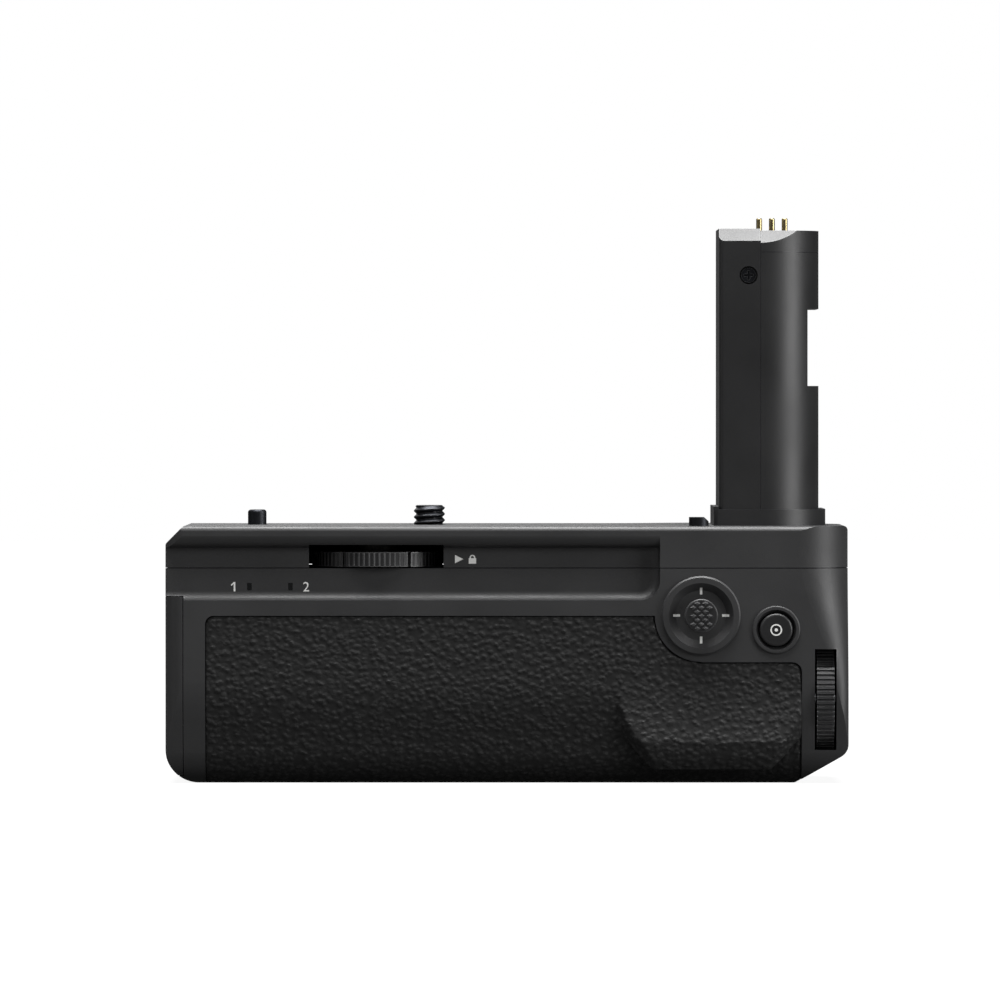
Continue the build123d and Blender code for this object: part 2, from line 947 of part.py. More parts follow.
def with_lugs(cover, side):
    """Posts over the plate corners on one side, bored for the plate screws."""
    for x, y in lug_places:
        if y * side > 0:
            cover += rod_z(x, y, plate_t, plate_t + plate_lug_h, plate_lug_r) & outer
            cover -= rod_z(x, y, -overrun, plate_t + plate_screw_l, plate_screw_r + run_gap)
    return cover


def rear_dial_slot():
    side = dial_slot_side
    slot = box(rear_dial_x - side, rear_dial_end_x + side, rear_y - overrun, rear_dial_y,
               rear_slot_low_z, rear_slot_high_z)
    pocket = rod_x(rear_dial_y, rear_dial_z, rear_dial_x - side, rear_dial_end_x + side,
                   rear_dial_r + move_gap)
    return slot + pocket


def front_dial_slot():
    side = dial_slot_side
    half = front_slot_h / 2
    slot = box(front_dial_x - side, front_dial_end_x + side, front_dial_y, grip_y + overrun,
               front_dial_z - half, front_dial_z + half)
    pocket = rod_x(front_dial_y, front_dial_z, front_dial_x - side, front_dial_end_x + side,
                   front_dial_r + move_gap)
    return slot + pocket


def dial_ribs(x0, x1, y0, y1, z, axle_y):
    """Two ribs that carry the axle of a dial between x0 and x1."""
    half = dial_rib_h / 2
    low = box(x0 - dial_rib_t, x0, y0, y1, z - half, z + half)
    high = box(x1, x1 + dial_rib_t, y0, y1, z - half, z + half)
    axle_hole = rod_x(axle_y, z, x0 - dial_rib_t - hole_overrun, x1 + dial_rib_t + hole_overrun,
                     dial_axle_r + run_gap)
    return (low + high) - axle_hole


def wheel_slot():
    return box(boss_left_x + slot_side_gap, boss_right_x - slot_side_gap, rear_y - overrun,
               rear_y + recess_depth + wall + fit_gap, cover_seam_z - overrun, boss_low_z)


def board_posts(places, y0, y1):
    posts = None
    for x, z in places:
        post = rod_y(x, z, y0, y1, board_post_r)
        posts = post if posts is None else posts + post
    return posts


control_post_places = [
    (x, z)
    for x in (control_left_x + board_post_in, control_right_x - board_post_in)
    for z in (control_low_z + board_post_in, control_high_z - board_post_in)
]
main_post_places = [
    (x, z)
    for x in (main_board_left_x + board_post_in, main_board_right_x - board_post_in)
    for z in (main_board_low_z + board_post_in, main_board_high_z - board_post_in)
]


# Casing

def below_seam():
    return box(left_x - overrun, right_x + overrun, rear_y - overrun, grip_y + overrun,
               -overrun, cover_seam_z - seam_gap / 2)


def focus_rim():
    """Raised ring round the focus button, rounded at its outer edge."""
    ring = Cylinder(focus_rim_r, wall + focus_rim_proud, align=(Align.CENTER, Align.CENTER, Align.MIN))
    ring = fillet(level_edges(ring, wall + focus_rim_proud), focus_rim_round)
    return facing_rear(focus_x, focus_z, rear_y + wall) * ring


def focus_dish():
    """Slope that leads down from the ring to the focus button."""
    dish = Cone(focus_r + slide_gap, focus_r + slide_gap + focus_dish_w, focus_dish_depth,
                align=(Align.CENTER, Align.CENTER, Align.MAX))
    return facing_rear(focus_x, focus_z, rear_y - focus_rim_proud) * dish


def rear_cover():
    cover = shell & below_seam()
    cover &= box(left_x - overrun, right_x + overrun, rear_y - overrun, split_y - seam_gap / 2,
                 -overrun, deck_z)
    cover -= rear_skin_space(skin_gap)
    cover -= prism_z(plate_outline(fit_gap), -overrun, wall + fit_gap)
    cover -= door_space()
    cover -= chamber_outside(fit_gap)
    cover = with_lugs(cover, -1)
    cover += board_posts(control_post_places, rear_y + wall / 2, control_y) - recess_cut()
    cover += focus_rim()
    cover -= rod_y(focus_x, focus_z, rear_y - overrun, rear_y + wall + fit_gap, focus_r + slide_gap)
    cover -= focus_dish()
    cover -= rod_y(stick_x, stick_z, rear_y - overrun, rear_y + wall + fit_gap, bezel_spigot_r + fit_gap)
    end_ribs = dial_ribs(rear_dial_x - dial_slot_side, rear_dial_end_x + dial_slot_side, rear_y + wall / 2,
                         rear_y + dial_rib_in, rear_dial_z, rear_dial_y)
    cover += end_ribs & outer
    cover -= rear_dial_slot()
    axle_end = rear_dial_end_x + dial_slot_side + dial_rib_t
    cover -= rod_x(rear_dial_y, rear_dial_z, rear_dial_x - overrun, axle_end, dial_axle_r + run_gap)
    for z in (end_button_low_z, end_button_high_z):
        cover -= rod_x(end_button_y, z, right_x - wall - fit_gap, right_x + overrun, end_button_r + slide_gap)
    post_z = (end_button_low_z + end_button_high_z) / 2
    cover += rod_x(end_button_y, post_z, end_board_x + board_t, right_x - wall / 2, end_post_r)
    keeper_x = hook_x - hook_nose_t - move_gap / 2
    cover += box(keeper_x - keeper_t, keeper_x, rear_y + wall / 2, hook_y - fit_gap,
                 door_latch_z - keeper_h, door_latch_z + keeper_h)
    for x, z in lamp_places:
        half_w = lamp_w / 2 + skin_gap
        half_h = lamp_h / 2 + skin_gap
        cover -= box(x - half_w, x + half_w, rear_y, rear_y + recess_depth + wall, z - half_h, z + half_h)
    return cover


def front_cover():
    cover = shell & below_seam()
    cover &= box(left_x - overrun, right_x + overrun, split_y + seam_gap / 2, grip_y + overrun,
                 -overrun, deck_z)
    cover -= front_skin_space(skin_gap)
    cover -= prism_z(plate_outline(fit_gap), -overrun, wall + fit_gap)
    cover -= door_space()
    cover -= chamber_outside(fit_gap)
    cover = with_lugs(cover, 1)
    cover += (hinge_lugs() & outer) - hinge_pin_holes()
    cover += board_posts(main_post_places, main_board_y + board_t, front_y - wall / 2 - skin_t / 2)
    ribs = dial_ribs(front_dial_x - dial_slot_side, front_dial_end_x + dial_slot_side,
                     grip_y - front_rib_in - wall, grip_y - wall / 2, front_dial_z, front_dial_y)
    cover += ribs & outer
    cover -= front_dial_slot()
    seat = rod_z(0, 0, -deck_overrun - shutter_base_in, deck_overrun, shutter_bezel_r + fit_gap)
    return cover - facet_plane.location * seat


def top_cover():
    cover = shell & box(left_x - overrun, right_x + overrun, rear_y - overrun, grip_y + overrun,
                        cover_seam_z + seam_gap / 2, deck_z + overrun)
    cover -= wheel_slot()
    cover -= rod_z(screw_x, 0, deck_z - deck_overrun, deck_z + overrun, bush_r + fit_gap)
    cover -= rod_z(pin_x, 0, deck_z - deck_overrun, deck_z + overrun, pin_shank_r + run_gap)
    cover -= rod_z(stud_x, stud_y, deck_z - deck_overrun, deck_z + overrun, stud_r + run_gap)
    cover -= prism_z(stem_plan(-fit_gap), deck_z - deck_overrun, deck_z + overrun)
    return cover


def bottom_plate():
    plate = prism_z(plate_outline(0), 0, plate_t)
    plate -= rod_z(0, 0, -overrun, overrun, socket_r + run_gap)
    for x, y in lug_places:
        plate -= rod_z(x, y, -overrun, overrun, plate_screw_r + run_gap)
        plate -= rod_z(x, y, -overrun, plate_head_t, plate_head_r + run_gap)
    return plate


def cross_slots(depth, reach):
    return Box(reach, cross_w, depth, align=(Align.CENTER, Align.CENTER, Align.MIN)) + Box(
        cross_w, reach, depth, align=(Align.CENTER, Align.CENTER, Align.MIN))


def case_screws():
    screws = None
    for x, y in lug_places:
        screw = rod_z(x, y, 0, plate_head_t, plate_head_r) + rod_z(x, y, 0, plate_screw_l, plate_screw_r)
        screw -= Pos(x, y, 0) * cross_slots(cross_depth, cross_l)
        screws = screw if screws is None else screws + screw
    return screws


def tripod_socket():
    bore_end = socket_thread_l
    return turned([
        (socket_thread_r, 0), (socket_r, 0), (socket_r, plate_t), (socket_flange_r, plate_t),
        (socket_flange_r, plate_t + socket_flange_t), (socket_r, plate_t + socket_flange_t),
        (socket_r, socket_h), (0, socket_h), (0, bore_end), (socket_thread_r, bore_end),
    ])


# Batteries' chamber, contacts and latches

bay_starts = [rear_bay_y, front_bay_y]
blade_x = bay_end_x - blade_reach


def blade_places():
    for start in bay_starts:
        for i in range(blade_count):
            yield start + bay_t / 2 + (i - (blade_count - 1) / 2) * blade_pitch


def battery_chamber():
    chamber = box(chamber_x, chamber_end_x, chamber_y, chamber_front_y, chamber_z, chamber_top_z)
    for start in bay_starts:
        chamber -= box(chamber_x - overrun, bay_end_x, start, start + bay_t, bay_z, bay_top_z)
    for y in blade_places():
        half = blade_w / 2 + fit_gap
        chamber -= box(bay_end_x - hole_overrun, chamber_end_x + overrun, y - half, y + half,
                       blade_z - fit_gap, blade_z + blade_h + fit_gap)
    for z in (latch_low_z, latch_high_z):
        chamber -= rod_x(mid_wall_y, z, chamber_x - overrun, chamber_x + latch_pin_l, latch_pin_r + run_gap)
    return chamber


def battery_contacts():
    """Bowed contact blades that reach through the end wall into the bays."""
    blades = None
    for y in blade_places():
        bow = make_face(Polyline(
            (chamber_end_x, blade_z), (blade_x + blade_reach / 2, blade_z), (blade_x, blade_z + blade_h / 3),
            (blade_x, blade_z + 2 * blade_h / 3), (blade_x + blade_reach / 2, blade_z + blade_h),
            (chamber_end_x, blade_z + blade_h), close=True,
        ))
        blade = prism_y(bow, y - blade_w / 2, y + blade_w / 2)
        blades = blade if blades is None else blades + blade
    return blades


def contact_board():
    rim = contact_board_rim
    return box(chamber_end_x, chamber_end_x + contact_board_t, chamber_y + rim, chamber_front_y - rim,
               chamber_z + rim, chamber_top_z - rim)


latch_places = [latch_low_z, latch_high_z]


def latch_pins():
    pins = None
    for z in latch_places:
        head_x = lever_out_x - fit_gap
        pin = rod_x(mid_wall_y, z, head_x, chamber_x + latch_pin_l - fit_gap, latch_pin_r)
        pin += rod_x(mid_wall_y, z, head_x - latch_head_t, head_x, latch_head_r)
        pins = pin if pins is None else pins + pin
    return pins


def battery_latch(z, side):
    """Lever that stands across the corner of one battery and swings level with the middle wall."""
    lever = rod_x(mid_wall_y, z, lever_out_x, lever_out_x + latch_lever_t, latch_hub_r)
    tip_y = mid_wall_y + side * latch_arm_l
    arm = box(lever_out_x, lever_out_x + latch_lever_t, min(mid_wall_y, tip_y), max(mid_wall_y, tip_y),
              z - latch_hub_r, z + latch_hub_r)
    lever += arm
    return lever - rod_x(mid_wall_y, z, lever_out_x - overrun, chamber_x, latch_pin_r + run_gap)


# Battery door with its seal and sliding latch

def battery_door():
    door = prism_x(door_outline(0), left_x - overrun, door_x) & outer
    hollow = room & prism_x(door_outline(-wall), door_inner_x, door_x + overrun)
    hollow += box(door_inner_x, door_x + overrun, rear_y + wall, door_step_y, door_low_z + wall,
                  door_step_z - wall) & block(wall, corner_high_r)
    door -= hollow
    door -= box(left_x - overrun, left_x + wall + hole_overrun, door_edge_y - hinge_r, hinge_y + overrun,
                door_low_z, cover_seam_z)
    for z0, z1 in knuckle_spans:
        door += rod_z(hinge_x, hinge_y, z0, z1, hinge_r)
        door += box(hinge_x - hinge_r / 2, hinge_x + hinge_r / 2, door_edge_y - hinge_r - wall / 2, hinge_y,
                    z0, z1)
    door -= hinge_pin_holes()
    half = door_latch_h / 2 + slide_gap
    slot_end_y = knob_y + knob_l + door_latch_travel + slide_gap
    return door - box(left_x - overrun, door_inner_x + fit_gap, knob_y - slide_gap, slot_end_y,
                      door_latch_z - half, door_latch_z + half)


def door_hinge_pin():
    return rod_z(hinge_x, hinge_y, hinge_low_z - fit_gap, hinge_high_z + fit_gap, hinge_pin_r)


def door_seal():
    """Soft frame in the door that keeps dust from the bays."""
    low_y = door_step_y + wall + fit_gap
    high_y = door_edge_y - wall - hinge_r - fit_gap
    low_z = door_low_z + wall + fit_gap
    high_z = cover_seam_z - door_gap - wall - fit_gap
    x0 = door_inner_x
    x1 = door_inner_x + seal_t
    frame = box(x0, x1, low_y, high_y, low_z, high_z)
    frame -= box(x0 - overrun, x1 + overrun, low_y + seal_w, high_y - seal_w, low_z + seal_w, high_z - seal_w)
    half = door_latch_plate_h / 2 + move_gap
    latch_end_y = door_latch_y + door_latch_l + door_latch_travel + move_gap
    frame -= box(x0 - overrun, x1 + overrun, low_y - overrun, latch_end_y,
                 door_latch_z - half, door_latch_z + half)
    return frame & room & prism_x(door_outline(-wall - fit_gap), x0 - overrun, x1 + overrun)


def door_latch():
    half_plate = door_latch_plate_h / 2
    half = door_latch_h / 2
    latch = box(latch_plate_x, latch_plate_end_x, door_latch_y, door_latch_y + door_latch_l,
                door_latch_z - half_plate, door_latch_z + half_plate)
    latch += box(knob_top_x, latch_plate_x, knob_y, knob_y + knob_l, door_latch_z - half, door_latch_z + half)
    for i in range(knob_ribs):
        y = knob_y + knob_l * (i + 1) / (knob_ribs + 1)
        latch -= box(knob_top_x - overrun, knob_top_x + knob_rib_w, y - knob_rib_w / 2, y + knob_rib_w / 2,
                     door_latch_z - half, door_latch_z + half)
    arm_y = hook_y + hook_t
    latch += box(latch_plate_x, hook_x, hook_y, arm_y, door_latch_z - half, door_latch_z + half)
    return latch + box(hook_x - hook_nose_t, hook_x, hook_y - hook_reach, hook_y,
                       door_latch_z - half, door_latch_z + half)


# Gear pair under the deck

def gear_outline(teeth):
    pitch_r = gear_module * teeth / 2
    top_r = pitch_r + gear_module
    root_r = pitch_r - gear_module - gear_module * tooth_clearance_share
    half_pitch = math.pi * gear_module / 4 - gear_backlash
    points = []
    for i in range(teeth):
        centre = 2 * math.pi * i / teeth
        for r, share in (
            (root_r, -tooth_root_share), (top_r, -tooth_tip_share),
            (top_r, tooth_tip_share), (root_r, tooth_root_share),
        ):
            angle = centre + share * half_pitch / r
            points.append((r * math.cos(angle), r * math.sin(angle)))
    return make_face(Polyline(*points, close=True))


def attachment_wheel():
    wheel = Pos(wheel_x, wheel_y, wheel_low_z) * Cylinder(
        wheel_r, wheel_t, align=(Align.CENTER, Align.CENTER, Align.MIN))
    for i in range(wheel_segments):
        angle = 360 * i / wheel_segments
        groove = Pos(wheel_r, 0, wheel_low_z) * Box(
            2 * wheel_groove_d, wheel_groove_w, wheel_t, align=(Align.CENTER, Align.CENTER, Align.MIN))
        wheel -= Pos(wheel_x, wheel_y, 0) * Rot(0, 0, angle) * groove
    wheel += rod_z(wheel_x, wheel_y, wheel_high_z, gear_low_z, wheel_hub_r)
    return wheel - rod_z(wheel_x, wheel_y, 0, deck_z, axle_r + run_gap)


def wheel_gear():
    teeth = prism_z(gear_outline(wheel_teeth), gear_low_z, gear_top_z)
    gear = Pos(wheel_x, wheel_y, 0) * Rot(0, 0, wheel_mesh_turn) * teeth
    return gear - rod_z(wheel_x, wheel_y, 0, deck_z, axle_r + run_gap)


def screw_gear():
    teeth = prism_z(gear_outline(screw_teeth), gear_low_z, gear_top_z)
    gear = Pos(screw_x, 0, 0) * Rot(0, 0, screw_mesh_turn) * teeth
    return gear - rod_z(screw_x, 0, 0, deck_z, screw_shank_r)


def wheel_axle():
    return rod_z(wheel_x, wheel_y, chamber_top_z, deck_z - wall, axle_r)


def gear_plate():
    rim = gear_plate_rim
    x0 = wheel_x - wheel_hub_r - rim
    x1 = chamber_end_x - fit_gap
    y0 = wheel_y - wheel_hub_r
    y1 = bush_r + rim
    face = rounded([(x0, y0), (x1, y0), (x1, y1), (x0, y1)], [gear_plate_r] * 4)
    plate = prism_z(face, chamber_top_z, chamber_top_z + gear_plate_t)
    plate -= rod_z(wheel_x, wheel_y, 0, deck_z, axle_r)
    return plate - rod_z(screw_x, 0, 0, deck_z, screw_pivot_r + run_gap)


def screw_bush():
    low_z = deck_z - wall - fit_gap
    bush = rod_z(screw_x, 0, low_z, deck_z, bush_r)
    return bush - rod_z(screw_x, 0, 0, deck_z + overrun, screw_r + run_gap)


def thread_points(low_z, high_z):
    """Outer line of a ridged thread between two heights, as (radius, height) points."""
    root_r = screw_r - screw_thread_depth
    turns = int((high_z - low_z) / screw_pitch)
    points = [(root_r, low_z)]
    for i in range(turns):
        z = high_z - (turns - i) * screw_pitch
        points.append((root_r, z + screw_pitch * thread_root_share))
        points.append((screw_r, z + screw_pitch / 2 - screw_pitch * thread_crest_share))
        points.append((screw_r, z + screw_pitch / 2 + screw_pitch * thread_crest_share))
        points.append((root_r, z + screw_pitch * (1 - thread_root_share)))
    return points + [(root_r, high_z)]


def attachment_screw():
    """Camera screw: threaded where it stands out, plain where it turns in the bush."""
    thread_z = deck_z - screw_thread_in
    top_z = deck_z + screw_proud
    foot_z = chamber_top_z + run_gap
    pivot = [(0, foot_z), (screw_pivot_r, foot_z), (screw_pivot_r, gear_low_z)]
    shank = [(screw_shank_r, gear_low_z), (screw_shank_r, thread_z)]
    return Pos(screw_x, 0, 0) * turned(pivot + shank + thread_points(thread_z, top_z) + [(0, top_z)])


# Pin and stud on the deck

def locating_pin():
    """Pin with a thicker shank in the deck and a flange below it."""
    low_z = deck_z - wall
    pin = rod_z(pin_x, 0, deck_z, deck_z + pin_proud, pin_r)
    pin = fillet(level_edges(pin, deck_z + pin_proud), pin_round_r)
    pin += rod_z(pin_x, 0, low_z, deck_z, pin_shank_r)
    return pin + rod_z(pin_x, 0, low_z - pin_flange_t, low_z, pin_flange_r)


def guide_stud():
    low_z = deck_z - wall
    top_z = deck_z + stud_proud
    stud = rod_z(stud_x, stud_y, low_z, top_z, stud_r)
    slope = make_face(Polyline(
        (stud_x + stud_r, top_z - stud_slant), (stud_x + stud_r - stud_slant, top_z),
        (stud_x + stud_r, top_z), close=True,
    ))
    stud -= prism_y(slope, stud_y - overrun, stud_y + overrun)
    return stud + rod_z(stud_x, stud_y, low_z - pin_flange_t, low_z, stud_flange_r)


# Stem

def stem_plan(inset):
    points = [
        (stem_left_x, stem_y), (stem_right_x, stem_y),
        (stem_right_x, stem_front_y), (stem_left_x, stem_front_y),
    ]
    return shrunk(rounded(points, [stem_corner_r, stem_round_r, stem_corner_r, stem_corner_r]), inset)


def stem_block():
    """Stem with a flat bevel along the rear edge of its top."""
    body = prism_z(stem_plan(0), stem_foot_z, stem_top_z)
    bevel = make_face(Polyline(
        (stem_y - overrun, stem_top_z - stem_bevel - overrun),
        (stem_y + stem_bevel + overrun, stem_top_z + overrun),
        (stem_y - overrun, stem_top_z + overrun),
        close=True,
    ))
    return body - prism_x(bevel, stem_left_x - overrun, stem_right_x + overrun)


def notch_space(grow):
    return box(stem_right_x - notch_depth - grow, stem_right_x + overrun,
               stem_y - overrun, stem_front_y + overrun, notch_low_z - grow, notch_high_z + grow)


def stem_room():
    inside = prism_z(stem_plan(stem_wall), stem_foot_z - overrun, stem_top_z - stem_wall)
    inside &= Pos(0, 0, -stem_wall) * stem_tall
    return inside - notch_space(stem_wall)


def stem_part(x0, x1, z0, z1):
    return stem_solid & box(x0, x1, stem_y - overrun, stem_front_y + overrun, z0, z1)


def stem_foot(x0, x1):
    grow = stem_flange
    foot = box(x0, x1, stem_y - grow, stem_front_y + grow, stem_foot_z, deck_z - wall)
    return (foot & room) - stem_inside


def pin_places():
    return [contact_pin_x + i * contact_pin_pitch for i in range(contact_pin_count)]


def pin_holes():
    holes = None
    for x in pin_places():
        hole = rod_z(x, contact_pin_y, stem_cap_z, stem_top_z + overrun, contact_pin_r + slide_gap)
        holes = hole if holes is None else holes + hole
    return holes


def stem_screw_seat():
    recess = rod_y(stem_screw_x, stem_screw_z, stem_y - overrun, stem_y + stem_screw_sink + stem_screw_head_t,
                   stem_screw_sink_r)
    return recess + rod_y(stem_screw_x, stem_screw_z, stem_y, stem_y + stem_screw_l + fit_gap,
                          stem_screw_shank_r + run_gap)


def stem_shell():
    edge = stem_seam_x - stem_seam / 2
    shell_part = stem_part(stem_left_x - overrun, edge, stem_foot_z, stem_top_z)
    shell_part += stem_foot(stem_left_x - stem_flange, edge)
    shell_part += rod_y(stem_screw_x, stem_screw_z, stem_y + stem_wall / 2, stem_y + stem_screw_l + stem_wall,
                        stem_post_r)
    return shell_part - stem_screw_seat() - pin_holes()


def stem_cover():
    edge = stem_seam_x + stem_seam / 2
    cover = stem_part(edge, stem_right_x + overrun, stem_foot_z, stem_cap_z - stem_seam / 2)
    return cover + stem_foot(edge, stem_right_x + stem_flange)


def stem_cap():
    edge = stem_seam_x + stem_seam / 2
    cap = Pos(0, 0, stem_cap_top_z - stem_top_z) * stem_tall
    cap &= box(edge, stem_right_x + overrun, stem_y - overrun, stem_front_y + overrun,
               stem_cap_z + stem_seam / 2, stem_cap_top_z)
    cap -= Pos(0, 0, stem_cap_top_z - stem_top_z) * stem_inside
    return cap - pin_holes()


def stem_collar():
    """Raised surround at the foot of the stem, with a low ridge along its left side."""
    x0 = stem_left_x - collar_left
    x1 = stem_right_x + collar_right
    y0 = stem_y - collar_side
    y1 = stem_front_y + collar_side
    face = rounded([(x0, y0), (x1, y0), (x1, y1), (x0, y1)],
                   [stem_corner_r, collar_round_r, stem_corner_r, stem_corner_r])
    ring = prism_z(face, deck_z, deck_z + collar_h)
    ridge = box(x0, x0 + collar_ridge_w, y0 + stem_corner_r, y1 - stem_corner_r,
                deck_z + collar_h, deck_z + collar_h + collar_ridge_h)
    return (ring + ridge) - prism_z(stem_plan(-fit_gap), 0, stem_top_z)


def stem_screw():
    head_y = stem_y + stem_screw_sink
    head = rod_y(stem_screw_x, stem_screw_z, head_y, head_y + stem_screw_head_t, stem_screw_r)
    shank = rod_y(stem_screw_x, stem_screw_z, head_y, stem_y + stem_screw_l, stem_screw_shank_r)
    facing = Plane(origin=(stem_screw_x, head_y, stem_screw_z), x_dir=(1, 0, 0), z_dir=(0, 1, 0))
    return head + shank - facing.location * cross_slots(cross_depth, cross_l)


def contact_block():
    last_x = contact_pin_x + (contact_pin_count - 1) * contact_pin_pitch
    half = contact_block_t / 2
    carrier = box(contact_pin_x - contact_block_side, last_x + contact_block_side,
                  contact_pin_y - half, contact_pin_y + half, block_low_z, block_top_z)
    for x in pin_places():
        carrier -= rod_z(x, contact_pin_y, block_low_z - overrun, block_top_z + overrun,
                         contact_pin_r + run_gap)
        carrier -= rod_z(x, contact_pin_y, block_low_z + contact_floor, block_top_z - contact_lid,
                         contact_collar_r + slide_gap)
    return carrier & stem_inside


def contact_pin(x):
    top_z = stem_cap_top_z + contact_pin_proud
    pin = rod_z(x, contact_pin_y, block_low_z + contact_tail, top_z, contact_pin_r)
    pin = fillet(level_edges(pin, top_z), contact_pin_r / 2)
    low_z = collar_rest_z - fit_gap / 2
    return pin + rod_z(x, contact_pin_y, low_z, low_z + contact_collar_t, contact_collar_r)


def stem_board():
    rim = stem_board_rim
    return box(stem_board_x, stem_board_x + board_t, stem_y + stem_wall, stem_front_y - rim - stem_wall,
               stem_board_low_z, stem_board_high_z)


# Circuit boards and lamps

def control_board():
    board = box(control_left_x, control_right_x, control_y, control_front_y, control_low_z, control_high_z)
    half = switch_w / 2
    return board + box(focus_x - half, focus_x + half, switch_y, control_y, focus_z - half, focus_z + half)


def main_board():
    board = box(main_board_left_x, main_board_right_x, main_board_y, main_board_y + board_t,
                main_board_low_z, main_board_high_z)
    middle_x = (main_board_left_x + main_board_right_x) / 2
    middle_z = (main_board_low_z + main_board_high_z) / 2
    half = chip_w / 2
    return board + box(middle_x - half, middle_x + half, main_board_y - chip_t, main_board_y,
                       middle_z - half, middle_z + half)


def end_board():
    half = end_board_l / 2
    board = box(end_board_x, end_board_x + board_t, end_button_y - half, end_button_y + half,
                end_board_low_z, end_board_high_z)
    side = switch_w / 2
    for z in (end_button_low_z, end_button_high_z):
        board += box(end_board_x + board_t, end_board_x + board_t + switch_t, end_button_y - side,
                     end_button_y + side, z - side, z + side)
    return board


def lamp_lenses():
    lenses = None
    face_y = rear_y + recess_depth
    for x, z in lamp_places:
        lens = box(x - lamp_w / 2, x + lamp_w / 2, face_y, face_y + wall, z - lamp_h / 2, z + lamp_h / 2)
        side = lamp_flange
        half_w = lamp_w / 2 + side
        half_h = lamp_h / 2 + side
        lens += box(x - half_w, x + half_w, face_y + wall, face_y + wall + lamp_flange_t,
                    z - half_h, z + half_h)
        lenses = lens if lenses is None else lenses + lens
    return lenses


# Joystick

def facing_rear(x, z, y):
    """Plane whose height runs outwards from the rear face."""
    return Plane(origin=(x, y, z), x_dir=(1, 0, 0), z_dir=(0, -1, 0)).location


def joystick_bezel():
    low = -wall
    floor = -bezel_floor_in
    ring = turned([
        (bezel_hole_r, floor - bezel_t), (bezel_spigot_r, floor - bezel_t), (bezel_spigot_r, 0),
        (bezel_r, 0), (bezel_r, bezel_proud - bezel_edge_r), (bezel_r - bezel_edge_r, bezel_proud),
        (bezel_inner_r, bezel_proud), (bezel_floor_r, floor), (bezel_hole_r, floor),
    ])
    skirt = turned([
        (bezel_spigot_r - bezel_t, low), (bezel_spigot_r, low),
        (bezel_spigot_r, floor), (bezel_spigot_r - bezel_t, floor),
    ])
    return facing_rear(stick_x, stick_z, rear_y) * (ring + skirt)


def joystick_base():
    half = stick_base_w / 2
    tall = stick_base_h / 2
    floor_y = control_y - stick_base_floor
    wall_x = half - stick_base_wall
    base = box(stick_x - half, stick_x + half, floor_y, control_y, stick_z - half, stick_z + half)
    for side in (-1, 1):
        x = stick_x + side * (wall_x + stick_base_wall / 2)
        base += box(x - stick_base_wall / 2, x + stick_base_wall / 2, gimbal_y - tall / 2, floor_y,
                    stick_z - tall, stick_z + tall)
    return base - rod_x(gimbal_y, stick_z, stick_x - half - hole_overrun, stick_x + half + hole_overrun,
                        yoke_pin_r + run_gap)


def joystick_yoke():
    half_w = yoke_w / 2
    half_h = yoke_h / 2
    bore = yoke_bore / 2
    low = gimbal_y - yoke_t / 2
    high = gimbal_y + yoke_t / 2
    yoke = box(stick_x - half_w, stick_x + half_w, low, high, stick_z - half_h, stick_z + half_h)
    yoke -= box(stick_x - bore, stick_x + bore, low - overrun, high + overrun, stick_z - bore, stick_z + bore)
    reach = stick_base_w / 2 - fit_gap
    for side in (-1, 1):
        ends = sorted([stick_x + side * (half_w - stick_base_wall / 2), stick_x + side * reach])
        yoke += rod_x(gimbal_y, stick_z, ends[0], ends[1], yoke_pin_r)
    return yoke - rod_z(stick_x, gimbal_y, stick_z - half_h - hole_overrun, stick_z + half_h + hole_overrun,
                        shaft_pin_r + run_gap)


def joystick_shaft():
    hub = Pos(stick_x, gimbal_y, stick_z) * Sphere(shaft_hub_r)
    reach = yoke_h / 2 - fit_gap
    hub += rod_z(stick_x, gimbal_y, stick_z - reach, stick_z + reach, shaft_pin_r)
    return hub + rod_y(stick_x, stick_z, rear_y - stick_cap_under + stick_travel + fit_gap, gimbal_y, shaft_r)


def lozenge_face(share, z):
    half_w = share * stick_bump_w / 2
    half_h = share * stick_bump_h / 2
    return Pos(0, 0, z) * make_face(Polyline(
        (half_w, 0), (0, half_h), (-half_w, 0), (0, -half_h), close=True))


def stick_lozenge():
    """Raised lozenge, narrower at its top, rooted in the cap."""
    root = stick_cap_round / 2
    foot = extrude(lozenge_face(1, 0), amount=root, dir=(0, 0, 1))
    raised = loft([lozenge_face(1, root), lozenge_face(stick_bump_top_share, root + stick_bump_proud)],
                  ruled=True)
    return foot + raised


def joystick_cap():
    """Cap covered with staggered rows of lozenges, on a tube that slides along the shaft."""
    cap = Cylinder(stick_cap_r, stick_cap_t, align=(Align.CENTER, Align.CENTER, Align.MIN))
    cap = fillet(level_edges(cap, stick_cap_t), stick_cap_round)
    lozenge = stick_lozenge()
    half_column = stick_bump_column / 2
    rows = int(stick_cap_r / stick_bump_row)
    columns = int(stick_cap_r / half_column)
    for row in range(-rows, rows + 1):
        for column in range(-columns, columns + 1):
            if (row + column) % 2:
                continue
            x = column * half_column
            y = row * stick_bump_row
            if math.hypot(abs(x) + stick_bump_w / 2, y) > stick_cap_r - stick_cap_round:
                continue
            cap += Pos(x, y, stick_cap_t - stick_cap_round / 2) * lozenge
    tube_l = gimbal_in - shaft_hub_r - stick_travel - fit_gap + stick_cap_under
    cap += Pos(0, 0, -tube_l) * Cylinder(stick_tube_r, tube_l, align=(Align.CENTER, Align.CENTER, Align.MIN))
    cap -= Pos(0, 0, -tube_l - overrun) * Cylinder(
        shaft_r + run_gap, tube_l + overrun, align=(Align.CENTER, Align.CENTER, Align.MIN))
    return facing_rear(stick_x, stick_z, rear_y - stick_cap_under) * cap


# Push buttons

